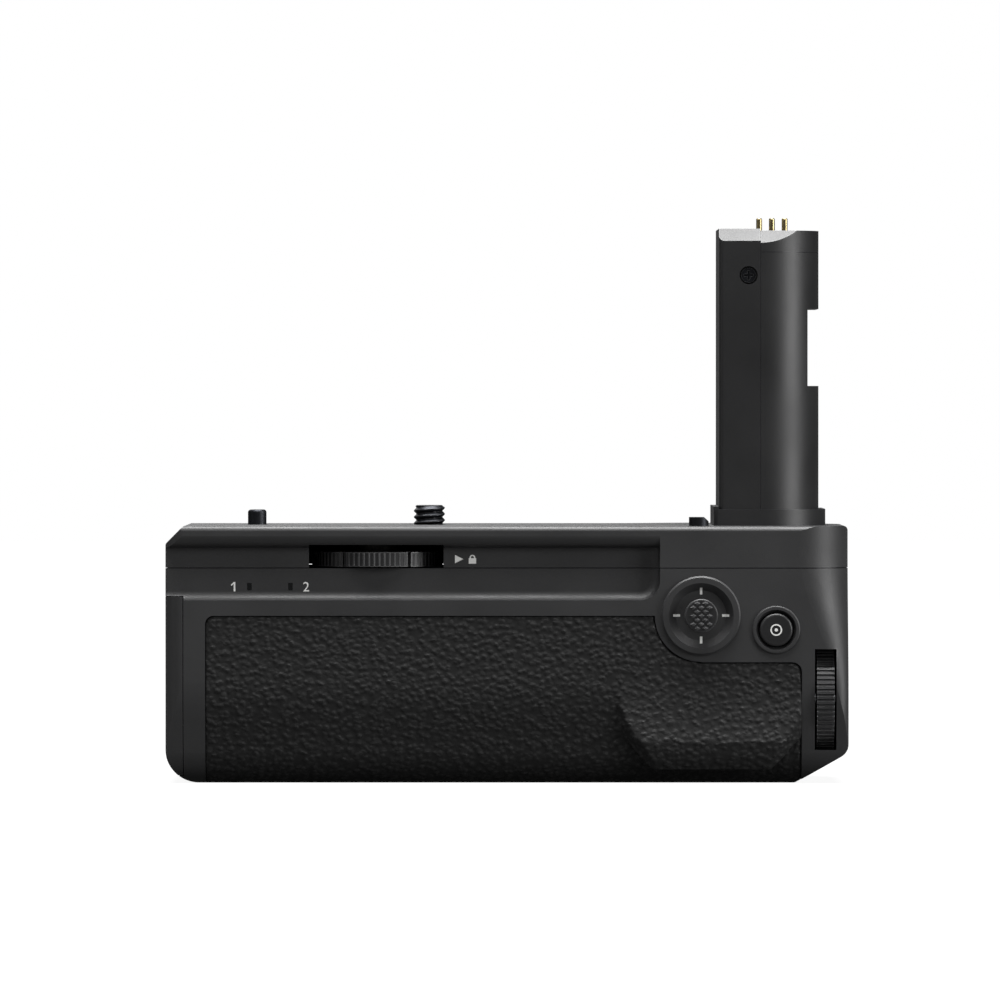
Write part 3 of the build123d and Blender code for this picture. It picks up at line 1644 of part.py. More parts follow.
def push_button(r, proud, inside, stem_l, dish, round_r):
    """Button along its own height: cap, retaining flange and stem, with the face of the casing at zero."""
    low = -inside
    button = Cylinder(r, proud + inside, align=(Align.CENTER, Align.CENTER, Align.MIN))
    button = Pos(0, 0, low) * button
    rim = level_edges(button, proud)
    button = fillet(rim, round_r)
    if dish > 0:
        ball_r = (r * r + dish * dish) / (2 * dish)
        button -= Pos(0, 0, proud + ball_r - dish) * Sphere(ball_r)
    button += Pos(0, 0, low - button_flange_t) * Cylinder(
        r + button_flange, button_flange_t, align=(Align.CENTER, Align.CENTER, Align.MIN))
    if stem_l > 0:
        button += Pos(0, 0, low - button_flange_t - stem_l) * Cylinder(
            button_stem_r, stem_l, align=(Align.CENTER, Align.CENTER, Align.MIN))
    return button


def focus_button():
    inside = wall + fit_gap
    stem_l = -rear_y + switch_y - inside - button_flange_t - focus_travel - switch_spare
    return facing_rear(focus_x, focus_z, rear_y) * push_button(
        focus_r, focus_proud, inside, stem_l, 0, focus_round)


def end_button(z):
    facing = Plane(origin=(right_x, end_button_y, z), x_dir=(0, 1, 0), z_dir=(1, 0, 0)).location
    return facing * push_button(end_button_r, -end_button_sunk, wall + fit_gap, 0, end_button_dish, fit_gap)


def shutter_bezel():
    groove_r = shutter_bezel_r - shutter_rim_t
    collar_in_r = shutter_collar_r - shutter_collar_t
    base_top = -shutter_base_in + shutter_base_t
    bezel = turned([
        (shutter_stem_r + slide_gap, -shutter_base_in), (shutter_bezel_r, -shutter_base_in),
        (shutter_bezel_r, shutter_rim_proud), (groove_r, shutter_rim_proud), (groove_r, base_top),
        (shutter_collar_r, base_top), (shutter_collar_r, shutter_collar_proud),
        (collar_in_r, shutter_collar_proud), (collar_in_r, base_top), (shutter_stem_r + slide_gap, base_top),
    ])
    return facet_plane.location * bezel


def lock_ring():
    inner_r = shutter_collar_r + slide_gap
    outer_r = shutter_bezel_r - shutter_rim_t - slide_gap
    low = -shutter_base_in + shutter_base_t + fit_gap
    ring = turned([(inner_r, low), (outer_r, low), (outer_r, lock_ring_proud), (inner_r, lock_ring_proud)])
    tab = Pos(outer_r - lock_tab_w / 4, 0, lock_tab_up) * Box(
        lock_tab_l + lock_tab_w / 4, lock_tab_w, lock_ring_proud - lock_tab_up + shutter_rim_proud,
        align=(Align.MIN, Align.CENTER, Align.MIN))
    return facet_plane.location * (ring + tab)


def shutter_button():
    r = shutter_collar_r - shutter_collar_t - slide_gap
    ball_r = (r * r + shutter_dish * shutter_dish) / (2 * shutter_dish)
    button = Pos(0, 0, -shutter_flange_in + shutter_travel) * Cylinder(
        r, shutter_proud + shutter_flange_in - shutter_travel, align=(Align.CENTER, Align.CENTER, Align.MIN))
    button = fillet(level_edges(button, shutter_proud), shutter_dish)
    button -= Pos(0, 0, shutter_proud + ball_r - shutter_dish) * Sphere(ball_r)
    stem_low = -shutter_base_in - shutter_stem_in
    button += Pos(0, 0, stem_low) * Cylinder(
        shutter_stem_r, -shutter_flange_in + shutter_travel - stem_low,
        align=(Align.CENTER, Align.CENTER, Align.MIN))
    return facet_plane.location * button


def shutter_switch():
    low = -shutter_base_in - shutter_stem_in - shutter_travel - switch_spare - shutter_switch_wall
    inner_r = shutter_stem_r + shutter_switch_wall
    cup = turned([
        (0, low), (shutter_switch_r, low), (shutter_switch_r, -shutter_base_in), (inner_r, -shutter_base_in),
        (inner_r, low + shutter_switch_wall), (0, low + shutter_switch_wall),
    ])
    return facet_plane.location * cup


# Control dials

def dial(r, w):
    """Ridged dial along its own height: rim, web, hub and bore."""
    ridges = round(2 * math.pi * r / dial_ridge_pitch)
    points = []
    for i in range(ridges):
        for reach, share in (
            (r - dial_ridge_d, 0), (r - dial_ridge_d, ridge_root_share),
            (r, ridge_rise_share), (r, ridge_top_share),
        ):
            angle = 2 * math.pi * (i + share) / ridges
            points.append((reach * math.cos(angle), reach * math.sin(angle)))
    rim = prism_z(make_face(Polyline(*points, close=True)), 0, w)
    rim -= rod_z(0, 0, -overrun, w + overrun, r - dial_rim_t)
    web_z = (w - dial_web_t) / 2
    rim += rod_z(0, 0, web_z, web_z + dial_web_t, r - dial_rim_t + fit_gap)
    rim += rod_z(0, 0, 0, w, dial_hub_r)
    return rim - rod_z(0, 0, -overrun, w + overrun, dial_axle_r + run_gap)


def along_x(x, y, z):
    return Plane(origin=(x, y, z), x_dir=(0, 1, 0), z_dir=(1, 0, 0)).location


def rear_dial():
    return along_x(rear_dial_x, rear_dial_y, rear_dial_z) * dial(rear_dial_r, rear_dial_w)


def front_dial():
    return along_x(front_dial_x, front_dial_y, front_dial_z) * dial(front_dial_r, front_dial_w)


def dial_axle(x0, x1, y, z):
    reach = dial_slot_side + dial_rib_t - fit_gap
    return rod_x(y, z, x0 - reach, x1 + reach, dial_axle_r)


stem_tall = stem_block()
stem_inside = stem_room()
stem_solid = (stem_tall - stem_inside) - notch_space(0)

pieces = {
    "top_cover": top_cover(),
    "rear_cover": rear_cover(),
    "front_cover": front_cover(),
    "bottom_plate": bottom_plate(),
    "rear_skin": rear_skin(),
    "front_skin": front_skin(),
    "case_screws": case_screws(),
    "tripod_socket": tripod_socket(),
    "battery_chamber": battery_chamber(),
    "battery_contacts": battery_contacts(),
    "contact_board": contact_board(),
    "latch_pins": latch_pins(),
    "battery_latch_rear": battery_latch(latch_low_z, -1),
    "battery_latch_front": battery_latch(latch_high_z, 1),
    "battery_door": battery_door(),
    "door_hinge_pin": door_hinge_pin(),
    "door_seal": door_seal(),
    "door_latch": door_latch(),
    "attachment_wheel": attachment_wheel(),
    "wheel_gear": wheel_gear(),
    "wheel_axle": wheel_axle(),
    "gear_plate": gear_plate(),
    "attachment_screw": attachment_screw(),
    "screw_gear": screw_gear(),
    "screw_bush": screw_bush(),
    "locating_pin": locating_pin(),
    "guide_stud": guide_stud(),
    "stem_shell": stem_shell(),
    "stem_cover": stem_cover(),
    "stem_cap": stem_cap(),
    "stem_collar": stem_collar(),
    "stem_screw": stem_screw(),
    "stem_board": stem_board(),
    "contact_block": contact_block(),
    "control_board": control_board(),
    "main_board": main_board(),
    "end_board": end_board(),
    "lamp_lenses": lamp_lenses(),
    "joystick_bezel": joystick_bezel(),
    "joystick_base": joystick_base(),
    "joystick_yoke": joystick_yoke(),
    "joystick_shaft": joystick_shaft(),
    "joystick_cap": joystick_cap(),
    "focus_button": focus_button(),
    "end_button_lower": end_button(end_button_low_z),
    "end_button_upper": end_button(end_button_high_z),
    "shutter_bezel": shutter_bezel(),
    "lock_ring": lock_ring(),
    "shutter_button": shutter_button(),
    "shutter_switch": shutter_switch(),
    "rear_dial": rear_dial(),
    "rear_dial_axle": dial_axle(rear_dial_x, rear_dial_end_x, rear_dial_y, rear_dial_z),
    "front_dial": front_dial(),
    "front_dial_axle": dial_axle(front_dial_x, front_dial_end_x, front_dial_y, front_dial_z),
}
for number, x in enumerate(pin_places(), start=1):
    pieces[f"contact_pin_{number}"] = contact_pin(x)

for name, piece in pieces.items():
    export_step(piece, f"parts/{name}.step")
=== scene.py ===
import json
import math

import bmesh
import bpy
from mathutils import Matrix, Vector
from mathutils.bvhtree import BVHTree


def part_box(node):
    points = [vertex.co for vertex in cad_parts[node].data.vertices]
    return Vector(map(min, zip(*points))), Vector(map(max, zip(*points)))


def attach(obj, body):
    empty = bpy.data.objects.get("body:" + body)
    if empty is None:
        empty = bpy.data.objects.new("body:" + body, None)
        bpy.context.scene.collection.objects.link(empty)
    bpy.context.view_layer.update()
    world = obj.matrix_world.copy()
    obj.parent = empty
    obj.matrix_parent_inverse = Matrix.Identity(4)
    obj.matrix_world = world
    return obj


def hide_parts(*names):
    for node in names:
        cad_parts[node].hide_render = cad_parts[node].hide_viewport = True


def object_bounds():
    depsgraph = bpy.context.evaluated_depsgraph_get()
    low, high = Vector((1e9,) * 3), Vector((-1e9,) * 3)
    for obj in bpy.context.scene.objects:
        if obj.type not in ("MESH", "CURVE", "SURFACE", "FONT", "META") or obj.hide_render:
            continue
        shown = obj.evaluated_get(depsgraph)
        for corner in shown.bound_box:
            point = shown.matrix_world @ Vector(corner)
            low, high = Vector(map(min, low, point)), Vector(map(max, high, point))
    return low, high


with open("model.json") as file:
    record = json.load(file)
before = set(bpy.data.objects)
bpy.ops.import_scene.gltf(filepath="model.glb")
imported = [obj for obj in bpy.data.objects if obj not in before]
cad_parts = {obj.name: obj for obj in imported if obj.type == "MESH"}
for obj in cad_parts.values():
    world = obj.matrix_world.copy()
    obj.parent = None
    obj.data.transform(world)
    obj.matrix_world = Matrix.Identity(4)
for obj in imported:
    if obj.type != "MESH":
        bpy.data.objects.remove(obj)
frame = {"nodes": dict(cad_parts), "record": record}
cadBox = [list(corner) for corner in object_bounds()]
cad = frame["nodes"]
mm = 0.001
print("frame loaded:", len(cad), "nodes")


# Small helpers

def linear(hexColour):
    # an sRGB hex value as the linear colour that a socket takes
    parts = [int(hexColour[i:i + 2], 16) / 255 for i in (1, 3, 5)]
    return [c / 12.92 if c <= 0.04045 else ((c + 0.055) / 1.055) ** 2.4 for c in parts] + [1]


def centreOf(box):
    # the middle of a box that is given by its two corners
    return [(low + high) / 2 for low, high in zip(*box)]


def addNode(tree, kind, settings=None, links=None):
    # one node with its settings, by socket or property, and the sockets that feed it
    node = tree.nodes.new(kind)
    for key, value in (settings or {}).items():
        if isinstance(key, int) or key in node.inputs:
            node.inputs[key].default_value = value
        else:
            setattr(node, key, value)
    for key, source in (links or {}).items():
        tree.links.new(source, node.inputs[key])
    return node


def newMaterial(name, settings):
    # a material with one principled shader, whose plain settings stand on its own sockets
    material = bpy.data.materials.new(name)
    material.use_nodes = True
    tree = material.node_tree
    tree.nodes.clear()
    shader = addNode(tree, "ShaderNodeBsdfPrincipled", settings)
    addNode(tree, "ShaderNodeOutputMaterial", links={"Surface": shader.outputs[0]})
    return material, tree, shader


def feed(tree, shader, sources):
    # joins a finish's last sockets to its shader
    for key, source in sources.items():
        tree.links.new(source, shader.inputs[key])


def newPiece(name, mesh, body, materials, nodes=()):
    # a finished mesh as a piece of the object that rides on its body
    piece = bpy.data.objects.new(name, mesh)
    bpy.context.scene.collection.objects.link(piece)
    if materials:
        mesh.materials.clear()
        for material in materials:
            mesh.materials.append(material)
    if nodes:
        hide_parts(*nodes)
    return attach(piece, body)


def meshFrom(bm, name):
    # a closed shape as a flat-shaded mesh, its faces turned outwards
    bmesh.ops.recalc_face_normals(bm, faces=bm.faces)
    mesh = bpy.data.meshes.new(name)
    bm.to_mesh(mesh)
    bm.free()
    mesh.polygons.foreach_set("use_smooth", [False] * len(mesh.polygons))
    return mesh


def mergedCopy(node):
    # a CAD node's loose triangles as one joined mesh, the node itself left alone
    bm = bmesh.new()
    bm.from_mesh(cad[node].data)
    bmesh.ops.remove_doubles(bm, verts=bm.verts, dist=0.001 * mm)
    mesh = bpy.data.meshes.new(node + "Copy")
    bm.to_mesh(mesh)
    bm.free()
    return mesh


def evaluated(worker):
    # what a helper object looks like after its modifiers, as a mesh; the helper goes
    bpy.context.scene.collection.objects.link(worker)
    graph = bpy.context.evaluated_depsgraph_get()
    mesh = bpy.data.meshes.new_from_object(worker.evaluated_get(graph), depsgraph=graph)
    bpy.data.objects.remove(worker)
    return mesh


def applied(mesh, name, change):
    # the mesh as it comes out of the modifiers that change() puts on it
    worker = bpy.data.objects.new(name + "Worker", mesh)
    change(worker)
    result = evaluated(worker)
    result.name = name
    return result


def newGeometryTree(name, sizes):
    # an empty geometry tree with its named inputs: sizes gives each one's socket kind
    tree = bpy.data.node_groups.new(name, "GeometryNodeTree")
    tree.interface.new_socket("Geometry", in_out="INPUT", socket_type="NodeSocketGeometry")
    for label, kind in sizes.items():
        tree.interface.new_socket(label, in_out="INPUT", socket_type=kind)
    tree.interface.new_socket("Geometry", in_out="OUTPUT", socket_type="NodeSocketGeometry")
    return tree, addNode(tree, "NodeGroupInput").outputs


def endGeometryTree(tree, geometry, material):
    real = addNode(tree, "GeometryNodeRealizeInstances", links={"Geometry": geometry})
    painted = addNode(tree, "GeometryNodeSetMaterial",
                      links={"Geometry": real.outputs[0], "Material": material})
    addNode(tree, "NodeGroupOutput", links={"Geometry": painted.outputs[0]})


def grownBy(mesh, name, tree, values):
    # the mesh after a geometry tree, with each input set by its socket's identifier
    def change(worker):
        modifier = worker.modifiers.new("tree", "NODES")
        modifier.node_group = tree
        for item in tree.interface.items_tree:
            if item.in_out == "INPUT" and item.name in values:
                modifier[item.identifier] = values[item.name]
    return applied(mesh, name, change)


# Finishes

def objectPlace(tree):
    return addNode(tree, "ShaderNodeTexCoord").outputs["Object"]


def edgeWearAndHighlightMask(tree, width, softness):
    # 0 on open faces and 1 where the surface turns within width: where hands and cloth rub; on
    # plastics and turned metal it also carries a painted edge highlight
    rounded = addNode(tree, "ShaderNodeBevel", {"Radius": width, "samples": 4}).outputs[0]
    straight = addNode(tree, "ShaderNodeNewGeometry").outputs["Normal"]
    agree = addNode(tree, "ShaderNodeVectorMath", {"operation": "DOT_PRODUCT"},
                    {0: rounded, 1: straight})
    mask = addNode(tree, "ShaderNodeMapRange", {"From Min": 1.0, "From Max": 1 - softness},
                   {"Value": agree.outputs["Value"]})
    return mask.outputs[0]


def mouldedPlastic(name, look):
    # moulded engineering plastic: a low broad sheen, a fine even tooth, edges smoother and
    # lighter, the lightening partly abrasion and partly a painted highlight
    material, tree, shader = newMaterial(
        name, {"IOR": look["ior"], "Specular IOR Level": look["shine"]})
    place = objectPlace(tree)
    tooth = addNode(tree, "ShaderNodeTexNoise",
                    {"Scale": 1 / look["tooth"], "Detail": 2.0, "Roughness": 0.6},
                    {"Vector": place})
    cloud = addNode(tree, "ShaderNodeTexNoise", {"Scale": 1 / look["cloud"], "Detail": 3.0},
                    {"Vector": place})
    tone = addNode(tree, "ShaderNodeMix",
                   {"data_type": "RGBA", 6: linear(look["low"]), 7: linear(look["high"])},
                   {0: cloud.outputs[0]})
    speck = addNode(tree, "ShaderNodeMapRange",
                    {"From Min": 0.35, "From Max": 0.75, "To Min": 0.86, "To Max": 1.16},
                    {"Value": tooth.outputs[0]})
    grained = addNode(tree, "ShaderNodeVectorMath", {"operation": "SCALE"},
                      {0: tone.outputs[2], "Scale": speck.outputs[0]})
    edgeRubAndHighlight = edgeWearAndHighlightMask(tree, look["edge"], look["edgeSoftness"])
    patchy = addNode(tree, "ShaderNodeMath", {"operation": "MULTIPLY"},
                     {0: edgeRubAndHighlight, 1: cloud.outputs[0]})
    amount = addNode(tree, "ShaderNodeMath", {"operation": "MULTIPLY", 1: look["edgeWearAndHighlightShare"]},
                     {0: patchy.outputs[0]})
    # edges mixed towards the lighter edge tone: abrasion and a painted highlight
    colour = addNode(tree, "ShaderNodeMix", {"data_type": "RGBA", 7: linear(look["edgeToneWornAndLit"])},
                     {0: amount.outputs[0], 6: grained.outputs[0]})
    rough = addNode(tree, "ShaderNodeMapRange",
                    {"From Min": 0.3, "From Max": 0.7,
                     "To Min": look["smooth"], "To Max": look["rough"]},
                    {"Value": cloud.outputs[0]})
    less = addNode(tree, "ShaderNodeMath", {"operation": "MULTIPLY", 1: -look["rubbedGloss"]},
                   {0: patchy.outputs[0]})
    finish = addNode(tree, "ShaderNodeMath", {"operation": "ADD"},
                     {0: rough.outputs[0], 1: less.outputs[0]})
    bump = addNode(tree, "ShaderNodeBump",
                   {"Strength": look["bump"], "Distance": look["toothDepth"]},
                   {"Height": tooth.outputs[0]})
    feed(tree, shader, {"Base Color": colour.outputs[2], "Roughness": finish.outputs[0],
                        "Normal": bump.outputs[0]})
    return material


def turnedMetal(name, look):
    # turned metal: fine tool rings round the axis, slightly uneven polish, edges lighter from
    # abrasion and a painted highlight
    material, tree, shader = newMaterial(name, {"Metallic": 1.0})
    place = objectPlace(tree)
    stretched = addNode(tree, "ShaderNodeMapping", {"Scale": look["stretch"]},
                        {"Vector": place})
    rings = addNode(tree, "ShaderNodeTexNoise", {"Scale": 1 / look["ring"], "Detail": 2.0},
                    {"Vector": stretched.outputs[0]})
    cloud = addNode(tree, "ShaderNodeTexNoise", {"Scale": 1 / look["cloud"], "Detail": 2.0},
                    {"Vector": place})
    tone = addNode(tree, "ShaderNodeMix",
                   {"data_type": "RGBA", 6: linear(look["low"]), 7: linear(look["high"])},
                   {0: cloud.outputs[0]})
    edgeRubAndHighlight = edgeWearAndHighlightMask(tree, look["edge"], look["edgeSoftness"])
    # edges mixed towards the lighter edge tone: abrasion and a painted highlight
    colour = addNode(tree, "ShaderNodeMix", {"data_type": "RGBA", 7: linear(look["edgeToneWornAndLit"])},
                     {0: edgeRubAndHighlight, 6: tone.outputs[2]})
    rough = addNode(tree, "ShaderNodeMapRange",
                    {"To Min": look["smooth"], "To Max": look["rough"]},
                    {"Value": rings.outputs[0]})
    bump = addNode(tree, "ShaderNodeBump", {"Strength": 0.3, "Distance": look["depth"]},
                   {"Height": rings.outputs[0]})
    feed(tree, shader, {"Base Color": colour.outputs[2], "Roughness": rough.outputs[0],
                        "Normal": bump.outputs[0]})
    return material


sparkTexture = {  # polycarbonate from a spark-eroded mould: near-black, a tiny glinting tooth
    "ior": 1.58, "shine": 0.5, "low": "#19191a", "high": "#1f1f20", "edgeToneWornAndLit": "#37373a",
    "tooth": 0.22 * mm, "toothDepth": 0.03 * mm, "bump": 0.5, "cloud": 14 * mm,
    "edge": 0.35 * mm, "edgeSoftness": 0.12, "edgeWearAndHighlightShare": 0.55,
    "smooth": 0.5, "rough": 0.6, "rubbedGloss": 0.2,
}
stemTexture = dict(sparkTexture, low="#0f0f10", high="#141415", shine=0.42, tooth=0.16 * mm,
                   bump=0.3, smooth=0.42, rough=0.5)
plainMould = dict(sparkTexture, low="#232425", high="#2b2c2d", tooth=0.12 * mm, bump=0.2,
                  smooth=0.36, rough=0.48)
# a much lighter edge tone and share: the knurl ribs and joystick bumps carry a painted highlight
# as well as abrasion
controlMould = dict(sparkTexture, low="#141415", high="#1a1a1b", tooth=0.14 * mm, bump=0.25,
                    shine=0.34, smooth=0.36, rough=0.46, edgeToneWornAndLit="#6c6c6d", edgeWearAndHighlightShare=1.1)
glossMould = dict(sparkTexture, low="#161617", high="#1a1a1b", tooth=0.3 * mm, bump=0.06,
                  shine=0.5, smooth=0.12, rough=0.2, rubbedGloss=0.0)
greyMould = dict(sparkTexture, low="#8a8b8d", high="#989a9c", edgeToneWornAndLit="#b4b5b7",
                 tooth=0.15 * mm, bump=0.2, shine=0.45, smooth=0.36, rough=0.46)
blackOxide = {  # blued steel, dark, edges lighter from abrasion and a painted highlight
    "low": "#26272a", "high": "#323336", "edgeToneWornAndLit": "#7c7d7f", "ring": 0.08 * mm,
    "stretch": (0.15, 0.15, 1.0), "cloud": 2 * mm, "edge": 0.12 * mm, "edgeSoftness": 0.1,
    "smooth": 0.38, "rough": 0.54, "depth": 0.01 * mm,
}
nickelSteel = dict(blackOxide, low="#b0b1b4", high="#c4c5c7", edgeToneWornAndLit="#dcdddf",
                   smooth=0.16, rough=0.34)
cutBrass = dict(blackOxide, low="#b8935a", high="#c9a568", edgeToneWornAndLit="#e3c88e",
                smooth=0.22, rough=0.38)
goldPlate = dict(blackOxide, low="#9a8b62", high="#aa9c76", edgeToneWornAndLit="#c4bb9a",
                 smooth=0.24, rough=0.38)

paintLook = {
    "paint": "#1e1e20", "bare": "#6f7072", "peel": 0.6 * mm, "peelDepth": 0.04 * mm,
    "chip": 1.2 * mm, "chipFrom": 0.56, "chipTo": 0.64, "edge": 0.3 * mm, "edgeSoftness": 0.1,
}


def paintedSteel(name):
    # pressed steel under stoved black paint: a shallow orange peel, chipped at the edges
    look = paintLook
    material, tree, shader = newMaterial(name, {"Specular IOR Level": 0.45})
    place = objectPlace(tree)
    peel = addNode(tree, "ShaderNodeTexNoise", {"Scale": 1 / look["peel"], "Detail": 1.0},
                   {"Vector": place})
    chips = addNode(tree, "ShaderNodeTexNoise", {"Scale": 1 / look["chip"], "Detail": 4.0},
                    {"Vector": place})
    edgeRubAndHighlight = edgeWearAndHighlightMask(tree, look["edge"], look["edgeSoftness"])
    bare = addNode(tree, "ShaderNodeMath", {"operation": "MULTIPLY"},
                   {0: edgeRubAndHighlight, 1: chips.outputs[0]})
    chipped = addNode(tree, "ShaderNodeMapRange",
                      {"From Min": look["chipFrom"], "From Max": look["chipTo"]},
                      {"Value": bare.outputs[0]})
    colour = addNode(tree, "ShaderNodeMix",
                     {"data_type": "RGBA", 6: linear(look["paint"]), 7: linear(look["bare"])},
                     {0: chipped.outputs[0]})
    rough = addNode(tree, "ShaderNodeMapRange", {"To Min": 0.34, "To Max": 0.5},
                    {"Value": peel.outputs[0]})
    bump = addNode(tree, "ShaderNodeBump", {"Strength": 0.35, "Distance": look["peelDepth"]},
                   {"Height": peel.outputs[0]})
    feed(tree, shader, {"Base Color": colour.outputs[2], "Roughness": rough.outputs[0],
                        "Metallic": chipped.outputs[0], "Normal": bump.outputs[0]})
    return material


boardLook = {
    "mask": "#123d22", "track": "#25683a", "tin": "#c3c4c0", "trackPitch": 4 * mm,
    "trackShare": 0.08, "trackDepth": 0.05 * mm, "padPitch": 3.1 * mm,
    "padFrom": 0.17, "padTo": 0.14,
}


def maskedBoard(name):
    # glass-epoxy board under green solder mask: tracks proud and paler, pads bare tin
    look = boardLook
    material, tree, shader = newMaterial(name, {"Specular IOR Level": 0.5})
    place = objectPlace(tree)
    tracks = addNode(tree, "ShaderNodeTexBrick",
                     {"Scale": 1 / look["trackPitch"], "Mortar Size": look["trackShare"],
                      "Color1": (0, 0, 0, 1), "Color2": (0.2, 0.2, 0.2, 1),
                      "Mortar": (1, 1, 1, 1)}, {"Vector": place})
    pads = addNode(tree, "ShaderNodeTexVoronoi", {"Scale": 1 / look["padPitch"]},
                   {"Vector": place})
    pad = addNode(tree, "ShaderNodeMapRange",
                  {"From Min": look["padFrom"], "From Max": look["padTo"]},
                  {"Value": pads.outputs["Distance"]})
    mask = addNode(tree, "ShaderNodeMix",
                   {"data_type": "RGBA", 6: linear(look["mask"]), 7: linear(look["track"])},
                   {0: tracks.outputs["Color"]})
    colour = addNode(tree, "ShaderNodeMix", {"data_type": "RGBA", 7: linear(look["tin"])},
                     {0: pad.outputs[0], 6: mask.outputs[2]})
    bump = addNode(tree, "ShaderNodeBump", {"Strength": 0.4, "Distance": look["trackDepth"]},
                   {"Height": tracks.outputs["Color"]})
    rough = addNode(tree, "ShaderNodeMapRange", {"To Min": 0.28, "To Max": 0.4},
                    {"Value": pads.outputs["Distance"]})
    feed(tree, shader, {"Base Color": colour.outputs[2], "Roughness": rough.outputs[0],
                        "Metallic": pad.outputs[0], "Normal": bump.outputs[0]})
    return material


def smoothFinish(name, look):
    # one even field of noise sets the tone, the gloss and the relief
    material, tree, shader = newMaterial(name, look["shader"])
    field = addNode(tree, "ShaderNodeTexNoise",
                    {"Scale": 1 / look["grain"], "Detail": 2.0}, {"Vector": objectPlace(tree)})
    colour = addNode(tree, "ShaderNodeMix",
                     {"data_type": "RGBA", 6: linear(look["low"]), 7: linear(look["high"])},
                     {0: field.outputs[0]})
    rough = addNode(tree, "ShaderNodeMapRange",
                    {"To Min": look["smooth"], "To Max": look["rough"]},
                    {"Value": field.outputs[0]})
    bump = addNode(tree, "ShaderNodeBump",
                   {"Strength": look["bump"], "Distance": look["depth"]},
                   {"Height": field.outputs[0]})
    feed(tree, shader, {"Base Color": colour.outputs[2], "Roughness": rough.outputs[0],
                        "Normal": bump.outputs[0]})
    return material


smokedAcrylic = {  # injection-moulded smoked acrylic: nearly black, glossy, a faint flow wave
    "shader": {"IOR": 1.49, "Specular IOR Level": 0.5}, "grain": 0.7 * mm,
    "low": "#0b0c0c", "high": "#151616", "smooth": 0.08, "rough": 0.18,
    "bump": 0.1, "depth": 0.02 * mm,
}
epoxyInk = {  # pad-printed epoxy ink: flat off-white, thinner and greyer in tiny pinholes
    "shader": {"Specular IOR Level": 0.35}, "grain": 0.12 * mm,
    "low": "#bcbcba", "high": "#e9e9e6", "smooth": 0.45, "rough": 0.65,
    "bump": 0.2, "depth": 0.01 * mm,
}


# Pebbled rubber, the same field of pebbles in the mesh and in the material

pebbleLook = {
    "pebble": 0.95 * mm,          # from lump to lump
    "stretch": (0.78, 1.0, 1.0),  # lumps run a little along the grip
    "warp": 0.5,                  # how far the lumps wander, as a share of a lump
    "wander": 0.7,                # how many times they turn on the way, for each lump
    "smooth": 0.32,               # how softly one lump runs into the next
    "ground": 0.62,               # where a lump has sunk to the ground, as a share of it
    "top": 0.1,                   # and where its top is flat
    "crumb": 0.42 * mm,           # finer unevenness on the lumps
    "depth": 0.25 * mm,           # how far the ground sinks between lumps
    "voxel": 0.33 * mm,           # the remesh's cell size; as fine as a skin's share of triangles allows
    "rounds": 4,
    "pore": 0.18 * mm,            # the rubber's own pores, only in the material
    "cloud": 9 * mm,
    "poreShare": 0.2,
    "bumpDepth": 0.13 * mm,
}


def pebbleField(tree, place):
    # 0 between lumps and 1 on top of one, at any point given in metres
    look = pebbleLook
    drawn = addNode(tree, "ShaderNodeVectorMath",
                    {"operation": "MULTIPLY", 1: look["stretch"]}, {0: place})
    place = drawn.outputs[0]
    wander = addNode(tree, "ShaderNodeTexNoise",
                     {"Scale": look["wander"] / look["pebble"], "Detail": 2.0},
                     {"Vector": place})
    centred = addNode(tree, "ShaderNodeVectorMath",
                      {"operation": "SUBTRACT", 1: (0.5, 0.5, 0.5)},
                      {0: wander.outputs["Color"]})
    shift = addNode(tree, "ShaderNodeVectorMath",
                    {"operation": "SCALE", "Scale": 2 * look["warp"] * look["pebble"]},
                    {0: centred.outputs[0]})
    moved = addNode(tree, "ShaderNodeVectorMath", {"operation": "ADD"},
                    {0: place, 1: shift.outputs[0]})
    cells = addNode(tree, "ShaderNodeTexVoronoi",
                    {"feature": "SMOOTH_F1", "Scale": 1 / look["pebble"],
                     "Smoothness": look["smooth"]},
                    {"Vector": moved.outputs[0]})
    lump = addNode(tree, "ShaderNodeMapRange",
                   {"From Min": look["ground"], "From Max": look["top"]},
                   {"Value": cells.outputs["Distance"]})
    crumb = addNode(tree, "ShaderNodeTexNoise", {"Scale": 1 / look["crumb"], "Detail": 2.0},
                    {"Vector": moved.outputs[0]})
    rougher = addNode(tree, "ShaderNodeMapRange",
                      {"From Min": 0.3, "From Max": 0.7, "To Min": 0.55, "To Max": 1.0},
                      {"Value": crumb.outputs[0]})
    field = addNode(tree, "ShaderNodeMath", {"operation": "MULTIPLY"},
                    {0: lump.outputs[0], 1: rougher.outputs[0]})
    return field.outputs[0]


